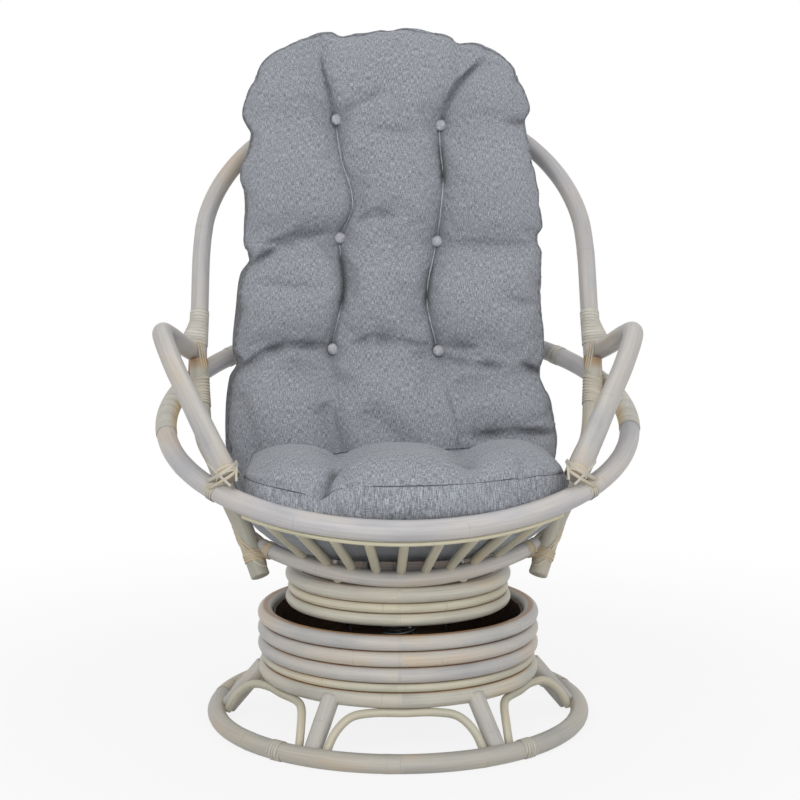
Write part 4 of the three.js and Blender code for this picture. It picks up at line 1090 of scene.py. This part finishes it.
def stuff(piece, sewn, pressure, slack, frames, most):
    """Blows a cushion up as cloth that is sewn down where the sewn weights say. Past the most
    that it may move, it is held back."""
    group = piece.vertex_groups.new(name="sewn")
    for number, weight in sewn.items():
        group.add([number], weight, "REPLACE")
    before = [vertex.co.copy() for vertex in piece.data.vertices]
    cloth = piece.modifiers.new("stuffing", "CLOTH")
    for name, value in cloth_give.items():
        setattr(cloth.settings, name, value)
    cloth.settings.shrink_min = slack
    cloth.settings.uniform_pressure_force = pressure
    cloth.settings.vertex_group_mass = "sewn"
    cloth.settings.effector_weights.gravity = 0
    cloth.collision_settings.use_collision = False
    cloth.point_cache.frame_start = 1
    cloth.point_cache.frame_end = frames
    for moment in range(1, frames + 1):
        bpy.context.scene.frame_set(moment)
    grown = piece.evaluated_get(bpy.context.evaluated_depsgraph_get()).to_mesh()
    after = [vertex.co.copy() for vertex in grown.vertices]
    piece.modifiers.clear()
    piece.vertex_groups.clear()
    bpy.context.scene.frame_set(1)
    for vertex, old, new in zip(piece.data.vertices, before, after):
        move = new - old
        if move.length > most:
            move *= most / move.length * (1 + 0.15 * (1 - most / move.length))
        vertex.co = old + move


def smoothed(piece):
    smooth = piece.modifiers.new("smooth", "SUBSURF")
    smooth.levels = 1
    smooth.render_levels = 1


def finished(piece, node):
    """One subdivision, and what the frame has to know of a cushion."""
    smoothed(piece)
    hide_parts(node)
    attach(piece, "seat")


pad_foot = 0.318
pad_shoulder = 0.985
pad_brow = 0.80              # from here up the stuffing thins to the top edge
pad_tail = 0.48              # and from here down to the foot
pad_left = mm((318, -232), (385, -263), (442, -269), (504, -264), (524, -253), (550, -260), (612, -255),
              (667, -248), (690, -233), (722, -239), (786, -240), (830, -246), (890, -230), (924, -242),
              (963, -233), (985, -222))
pad_right = mm((318, 210), (392, 248), (464, 242), (508, 229), (549, 235), (627, 231), (700, 234),
               (723, 228), (746, 236), (818, 229), (866, 221), (912, 212), (932, 219), (948, 217),
               (972, 208), (985, 201))
pad_top = mm((-222, 985), (-211, 1006), (-192, 1023), (-150, 1044), (-104, 1058), (-86, 1052),
             (-60, 1058), (0, 1066), (40, 1066), (92, 1052), (104, 1040), (132, 1040), (156, 1032),
             (179, 1016), (195, 998), (201, 985))
pad_front = mm((318, 12), (412, 57), (472, 82), (548, 118), (627, 134), (706, 160), (786, 175),
               (866, 194), (947, 216), (1012, 236), (1066, 262))
pad_back = mm((318, 125), (370, 173), (419, 198), (458, 219), (520, 248), (620, 274), (725, 295),
              (819, 312), (925, 332), (1066, 338))
pad_dish = 0.046
pad_boxing = 0.013           # half the width of its boxing strip
pad_bulge = 0.004
pad_turned = 0.010
tuft_left = mm((318, -88), (390, -90), (472, -92), (543, -103), (643, -83), (724, -88), (770, -69),
               (802, -70), (850, -85), (915, -96), (956, -104), (1012, -117), (1062, -120))
tuft_right = mm((318, 104), (395, 100), (472, 84), (542, 69), (627, 52), (716, 69), (770, 76), (818, 80),
                (904, 77), (979, 110), (1011, 143), (1062, 152))
tuft_tops = (1.055, 1.045)
tuft_depths = mm((318, 6), (480, 8), (543, 29), (600, 22), (660, 22), (720, 31), (780, 24), (840, 24),
                 (908, 31), (960, 16), (1020, 10), (1060, 4))
buttons = mm((-96, 915), (77, 904), (-88, 724), (69, 715), (-103, 543), (69, 542))
slits = (                    # where a channel closes: which one, from and to where, how deep, and how much painted shade
    (0, 0.600, 0.708, 1, 1), (1, 0.800, 0.885, 1, 1), (1, 0.600, 0.690, 1, 1),
    (0, 0.940, 1.030, 0.45, 0.6), (1, 0.965, 0.990, 0.45, 0.6))
creases = mm(                # from x, z to x, z, and the depth of each fold that a button draws
    (150, 1018, 111, 981, 6), (111, 981, 83, 940, 5), (136, 1006, 105, 970, 3), (-85, 926, -55, 945, 4),
    (-55, 945, -21, 962, 5), (182, 913, 224, 911, 9), (-38, 904, 33, 895, 3), (-175, 727, -105, 735, 9),
    (-207, 719, -160, 722, 8), (-236, 682, -191, 708, 15), (-63, 754, -33, 765, 5), (-33, 765, -1, 764, 6),
    (80, 718, 235, 716, 4), (-223, 658, -126, 647, 4), (-254, 515, -217, 544, 13),
    (-217, 544, -174, 557, 12), (-174, 557, -110, 553, 10), (-72, 559, -34, 567, 6),
    (-34, 567, -2, 562, 7), (-2, 562, 52, 553, 4), (84, 553, 130, 551, 7), (73, 535, 127, 525, 6),
    (127, 525, 170, 522, 8), (203, 525, 241, 508, 18), (118, 418, 182, 425, 10),
    (182, 425, 252, 423, 13), (180, 628, 232, 622, 4))
hollows = mm(                # and the wide, soft ones, with how far each spreads
    (110, 490, 215, 505, 23, 18), (-250, 470, -228, 400, 18, 16), (-112, 450, -92, 390, 24, 22),
    (46, 536, 52, 500, 14, 16), (-155, 515, -94, 494, 20, 18), (-35, 440, 10, 400, 15, 22),
    (-150, 870, -110, 800, 6, 22), (20, 640, 45, 600, 8, 18))
tuft_spread = 0.018
slit_spread = 0.0040
slit_depth = 0.013
stitched_up = (0.53, 1.0)    # from and to which height the channels are stitched
stitch_depth = 0.004         # the narrow line that the channel's stitches draw all the way down
row_depth = 0.013
row_spread = 0.040
button_depth = 0.011
button_spread = 0.020
crease_spread = 0.0055
crease_draw = 2.3            # creases are drawn this much deeper, because the stuffing fills them again
line_width = 0.0044          # of the shade that stays in the bottom of a fold
dimple_depth = 0.016         # on the back, where a button's cord comes through
dimple_spread = 0.030


def from_segment(x, z, x1, z1, x2, z2):
    """How far a place lies from a segment, and the share of the segment nearest to it."""
    dx = x2 - x1
    dz = z2 - z1
    share = min(max(((x - x1) * dx + (z - z1) * dz) / (dx * dx + dz * dz), 0), 1)
    return math.hypot(x - x1 - dx * share, z - z1 - dz * share), share


def tufting(x, z):
    """How deep the buttons, the channels between them and the folds draw the front in, and how much painted
    shade lies in the bottom of a fold there."""
    channels = (bend(tuft_left, z), bend(tuft_right, z))
    off = min(abs(x - channel) for channel in channels)
    sewn_here = min(1, max(0, (z - stitched_up[0]) / 0.02), max(0, (stitched_up[1] - z) / 0.03))
    drawn = bend(tuft_depths, z) * math.exp(-off / tuft_spread)
    drawn += stitch_depth * sewn_here * math.exp(-off / slit_spread)
    # Painted shade along the stitched channels, in the slits and in the creases.
    dark = 0.3 * sewn_here * math.exp(-(off / line_width) ** 2)
    for channel, low, high, deep, shade in slits:
        reach = max(0, min((z - low) / 0.02, (high - z) / 0.02, 1))
        off = abs(x - channels[channel])
        drawn += slit_depth * reach * deep * math.exp(-off / slit_spread)
        dark = max(dark, shade * reach * math.exp(-(off / line_width) ** 2))
    outer = min(1, max(0, max(channels[0] - x, x - channels[1]) / 0.03)) * 0.65 + 0.35
    for row in (0, 2, 4):
        level = buttons[row + (x >= 0)][1]
        drawn += row_depth * outer * math.exp(-((z - level) / row_spread) ** 2)
    for bx, bz in buttons:
        drawn += button_depth * math.exp(-(math.hypot(x - bx, z - bz) / button_spread) ** 2)
    for *way, fold in creases:
        off, share = from_segment(x, z, *way)
        taper = math.sin(math.pi * (0.12 + 0.76 * share))
        drawn += crease_draw * fold * taper * math.exp(-off / crease_spread)
        dark = max(dark, min(1, fold * 100) * taper * math.exp(-(off / line_width) ** 2))
    for *way, deep, spread in hollows:
        drawn += deep * math.exp(-(from_segment(x, z, *way)[0] / spread) ** 2)
    return drawn, dark


def across_spans(stops, s):
    """A place across a cushion by its share, over the three spans between four stops."""
    span = min(int(s * 3), 2)
    return stops[span] + (stops[span + 1] - stops[span]) * (s * 3 - span)


def on_back_pad(s, v, d):
    """A point of the back cushion's skin, by shares across, up and from front to back."""
    level = pad_foot + (pad_shoulder - pad_foot) * v
    inner = [bend(tuft, pad_foot + (top - pad_foot) * v)
             for tuft, top in zip((tuft_left, tuft_right), tuft_tops)]
    left = bend(pad_left, level)
    right = bend(pad_right, level)
    x = across_spans((left, *inner, right), s)
    z = pad_foot + (bend(pad_top, x) - pad_foot) * v
    a = (x - (right + left) / 2) / ((right - left) / 2)
    up = max(0, (z - pad_brow) / (bend(pad_top, x) - pad_brow))
    low = max(0, (pad_tail - z) / (pad_tail - pad_foot))
    full = math.sqrt(max(0, (1 - abs(a) ** 3.4) * (1 - up ** 3.4) * (1 - low ** 4)))
    front = bend(pad_front, z)
    back = bend(pad_back, z)
    middle = (front + back) / 2 - pad_dish * a * a * (1 - 0.3 * up)
    thick = pad_boxing + ((back - front) / 2 - pad_boxing) * full
    depth = 2 * d - 1
    drawn = tufting(x, z)[0] if d == 0 else 0
    dimple = 0
    if d == 1:
        dimple = max(dimple_depth * math.exp(-math.hypot(x - bx, z - bz) / dimple_spread)
                     for bx, bz in buttons)
    y = middle + depth * thick + drawn * (0.35 + 0.65 * full) - dimple * full
    edge_bulge = pad_bulge * (1 - depth * depth)
    x += ((s > 0.999) - (s < 0.001)) * edge_bulge
    if x < 0:                # on this side the front's seam lies further in, and the boxing shows
        turned = min(1, max(0, (z - 0.36) / 0.04), max(0, (0.71 - z) / 0.04))
        x += pad_turned * turned * (1 - d) * a * a
    z += edge_bulge * ((v > 0.999) - (v < 0.001) * 0.5)
    return Vector((x, y, z))


cloth_finish = cloth_material("grey_woven_cloth", "#6a6b6f", "#8b8e94", "#b0b4bc")
# The back cushion's outer welts are a darker grey than the cloth: painted shade of the seam line.
welt_painted_shade = cloth_material("seam_welt", "#55575c", "#74767c", "#94979e")
# The seat cushion's seam pieces are a darker grey: painted shade of the seam line.
seam_painted_shade = cloth_material("seam_in_shade", "#3f4146", "#54565c", "#6a6c73")
button_finish = cloth_material("button_cloth", "#8f9196", "#adaeb3", "#c6c7cb")
left_channel = 36
right_channel = 78
columns = spans((left_channel, right_channel - left_channel, left_channel))
rows = [i / 160 for i in range(161)]
boxing_steps = 5
back_pad, numbers = sewn_box("stuffed_back_cushion", columns, rows, boxing_steps, on_back_pad, 0)
channel_pin = 0.003          # how near to a channel, a button or a crease the cloth is held down
button_pin = 0.011
crease_pin = 0.0045
sewn = {}
painted_shade = [0.0] * len(numbers)
for (i, j, k), number in numbers.items():
    spot = back_pad.data.vertices[number].co
    if k == boxing_steps:
        sewn[number] = 1.0
    elif k > 0:
        # Painted shade on the boxing strip, heavier on the left side.
        painted_shade[number] = 0.75 if spot.x < 0 else 0.2
    else:
        # Painted shade along the front panel's left edge, and in the folds.
        painted_shade[number] = 0.4 if i == 0 else tufting(spot.x, spot.z)[1]
        close = min(abs(spot.x - bend(tuft, spot.z)) for tuft in (tuft_left, tuft_right))
        pinned = 1.0 if close < channel_pin and 0.50 < spot.z < 1.0 else 0.0
        if any(math.hypot(spot.x - x, spot.z - z) < button_pin for x, z in buttons):
            pinned = 1.0
        for *way, fold in creases:
            if from_segment(spot.x, spot.z, *way)[0] < crease_pin:
                pinned = max(pinned, min(1.0, fold * 110))
        if pinned:
            sewn[number] = pinned
# These fold values are painted shade, read by the cloth's material.
kept_by_points(back_pad.data, "fold", painted_shade)
stuff(back_pad, sewn, pressure=2.4, slack=-0.03, frames=14, most=0.008)


def seam(name, base, spots, radius=0.0016, closed=True, finish=welt_painted_shade, proud=0.0002):
    """The piped seam along a line of a cushion's own points, sunk half into the cloth."""
    points = [base.data.vertices[number] for number in spots]
    piece = bent_pole(name, [point.co + point.normal * proud for point in points], radius, "seat",
                      closed=closed, sides=8, finish=finish)


def rim(numbers, across, along, level):
    """The numbers of the points round one panel's edge, in order."""
    ring = [(i, 0) for i in range(across)] + [(across, j) for j in range(along)]
    ring += [(i, along) for i in range(across, 0, -1)] + [(0, j) for j in range(along, 0, -1)]
    return [numbers[i, j, level] for i, j in ring]


seam_low, seam_high = 0.55, 0.905      # the channels' stitches show between these heights
for name, level in (("front", 0), ("back", boxing_steps)):
    seam(f"back_cushion_{name}_seam", back_pad, rim(numbers, len(columns) - 1, len(rows) - 1, level))
for side, column in (("left", left_channel), ("right", right_channel)):
    stitched = [numbers[column, j, 0] for j in range(len(rows))]
    stitched = [number for number in stitched
                if seam_low < back_pad.data.vertices[number].co.z < seam_high]
    seam(f"back_channel_{side}_seam", back_pad, stitched, 0.0012, False, button_finish, 0.0012)
finished(back_pad, "back_cushion")

button_outline = ((0.0036, 0.0056), (0.0068, 0.0042), (0.0090, 0.0020), (0.0098, -0.0008),
                  (0.0084, -0.0032))
button_face = 0.0060
button_base = -0.0036
button_sides = 20
button_out = 0.0115          # how far it stands out of the hollow it draws, and which way it leans
button_lean = Vector((0, -1.5, 0.4))
for number, (x, z) in enumerate(buttons):
    near = min(back_pad.data.vertices, key=lambda vertex: (
        math.hypot(vertex.co.x - x, vertex.co.z - z) + (vertex.co.y > bend(pad_back, z) - 0.04)))
    out = (near.normal + button_lean).normalized()
    turn = out.to_track_quat("Z", "Y")
    form = bmesh.new()
    loops = []
    for radius, height in button_outline:
        loops.append([form.verts.new((radius * math.cos(2 * math.pi * k / button_sides),
                                      radius * math.sin(2 * math.pi * k / button_sides), height))
                      for k in range(button_sides)])
    for lower, upper in zip(loops, loops[1:]):
        for k in range(button_sides):
            form.faces.new((lower[k], upper[k], upper[k - 1], lower[k - 1]))
    for loop, height in ((loops[0], button_face), (loops[-1], button_base)):
        middle = form.verts.new((0, 0, height))
        for k in range(button_sides):
            form.faces.new((middle, loop[k], loop[k - 1]))
    bmesh.ops.recalc_face_normals(form, faces=form.faces)
    mesh = bpy.data.meshes.new(f"covered_button_{number + 1}")
    form.to_mesh(mesh)
    form.free()
    kept_by_points(mesh, "cloth", [part for vertex in mesh.vertices for part in (
        vertex.co.x + number, vertex.co.y, vertex.co.z)], "FLOAT_VECTOR")
    for vertex in mesh.vertices:
        vertex.co = near.co + turn @ vertex.co + out * button_out
    for face in mesh.polygons:
        face.use_smooth = True
    mesh.materials.append(button_finish)
    piece = placed(mesh.name, mesh)
    smoothed(piece)
    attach(piece, "seat")


# Seat cushion: the same cloth and stuffing, laid in the seat hoop. Its front edge rolls over to a
# seam just above the hoop, and two channels draw its top into three lobes.
seat_front = mm((-222, -226), (-210, -255), (-184, -287), (-140, -314), (-80, -329), (0, -333),
                (80, -329), (140, -314), (184, -287), (212, -255), (229, -222))
seat_back = -0.006
seat_left = -0.222
seat_right = 0.229
seat_top = mm((-333, 436), (-295, 438), (-220, 435), (-145, 431), (-70, 424), (-6, 410))
seat_bottom = mm((-333, 350), (-295, 333), (-245, 308), (-170, 275), (-130, 259), (-100, 254),
                 (-60, 255), (-6, 268))
seat_seam = mm((-220, 402), (-165, 396), (-132, 392), (-117, 390), (-104, 397), (-80, 402), (0, 404),
               (80, 406), (130, 409), (168, 411), (229, 405))
seat_lobes = mm((-220, 0), (-160, 3), (-89, -6), (-45, -4), (0, -3), (45, -4), (89, -5), (160, 6),
                (228, 2))
seat_boxing = 0.048
seat_bulge = 0.007
seat_tight = 0.003           # by which the top seam draws the edge in
seat_narrowed = 0.012
seat_front_roll = 0.085
seat_rear_roll = 0.07
seat_channels = (-0.089, 0.088)
seat_channel_depth = 0.015
seat_channel_bend = 0.016
seat_fold_spread = 0.006
seat_folds = mm((-89, 262, -104, 318, 12), (-104, 318, -118, 340, 13), (-98, 300, -128, 330, 4),
                (-90, 290, -72, 326, 3), (160, 275, 163, 318, 6), (150, 240, 160, 280, 3),
                (88, 240, 94, 290, 4))


def on_seat_pad(s, v, d):
    """A point of the seat cushion's skin, by shares across, back and from top to bottom."""
    channels = (seat_channels[0] - seat_channel_bend * max(0, 1 - v * 5), seat_channels[1])
    x = across_spans((seat_left, *channels, seat_right), s)
    edge = bend(seat_front, x)
    y = edge + (seat_back - edge) * v
    a = x / (seat_right if x > 0 else seat_left)
    w = max(0, 1 - (y - edge) / seat_front_roll)
    rear = max(0, 1 - (seat_back - y) / seat_rear_roll)
    full = math.sqrt(max(0, (1 - a ** 3.2) * (1 - w ** 2.4) * (1 - rear ** 3)))
    high = bend(seat_seam, x)
    if d == 0:
        z = high + (bend(seat_top, y) + bend(seat_lobes, x) - high) * full
        for channel, fade in zip(channels, (1, min(1, max(0, (y - edge) / 0.06)))):
            z -= seat_channel_depth * fade * math.exp(-abs(x - channel) / tuft_spread) * full
        for *way, fold in seat_folds:
            z -= fold * math.exp(-from_segment(x, -y, *way)[0] / seat_fold_spread)
    elif d == 1:
        z = high - seat_boxing + (bend(seat_bottom, y) - (high - seat_boxing)) * full
    else:
        z = high - seat_boxing * d
    depth = 1 - 2 * d
    drawn_in = seat_tight if d == 0 and (v < 0.001 or s < 0.001 or s > 0.999) else 0
    edge_bulge = seat_bulge * (1 - depth * depth)
    narrowed = seat_narrowed * max(0, d - 0.25)
    x += (edge_bulge - drawn_in - narrowed) * ((s > 0.999) - (s < 0.001))
    y -= (edge_bulge - drawn_in) * ((v < 0.001) - (v > 0.999))
    return Vector((x, y, z))


seat_left_channel = 20
seat_right_channel = 46
seat_columns = spans((seat_left_channel, seat_right_channel - seat_left_channel, seat_left_channel))
seat_rows = [(i / 54) ** 1.15 for i in range(55)]
seat_steps = 8
fold_pin = 0.004             # how near to a fold the cloth is held down, if it is deeper than this
seat_pad, seat_numbers = sewn_box("stuffed_seat_cushion", seat_columns, seat_rows, seat_steps,
                                  on_seat_pad, -1)
sewn = {}
painted_shade = [0.0] * len(seat_numbers)
for (i, j, k), number in seat_numbers.items():
    spot = seat_pad.data.vertices[number].co
    if k == seat_steps or j == len(seat_rows) - 1:
        sewn[number] = 1.0
    elif k == 0:
        pinned = 0.7 if i in (seat_left_channel, seat_right_channel) and j > 6 else 0.0
        for *way, fold in seat_folds:
            off, _ = from_segment(spot.x, -spot.y, *way)
            pinned = max(pinned, 0.8 if off < fold_pin < fold else 0.0)
            # Painted shade in the bottom of each fold of the seat.
            painted_shade[number] = max(painted_shade[number], min(1, fold * 60) * math.exp(-(off / line_width) ** 2))
        if j == 0 or i in (0, len(seat_columns) - 1):
            pinned = 1.0
        if pinned:
            sewn[number] = pinned
kept_by_points(seat_pad.data, "fold", painted_shade)
stuff(seat_pad, sewn, pressure=2.5, slack=-0.02, frames=12, most=0.006)
for name, level in (("top", 0), ("bottom", seat_steps)):
    seam(f"seat_cushion_{name}_seam", seat_pad,
         rim(seat_numbers, len(seat_columns) - 1, len(seat_rows) - 1, level), 0.0008,
         finish=seam_painted_shade, proud=0.0007)
finished(seat_pad, "seat_cushion")
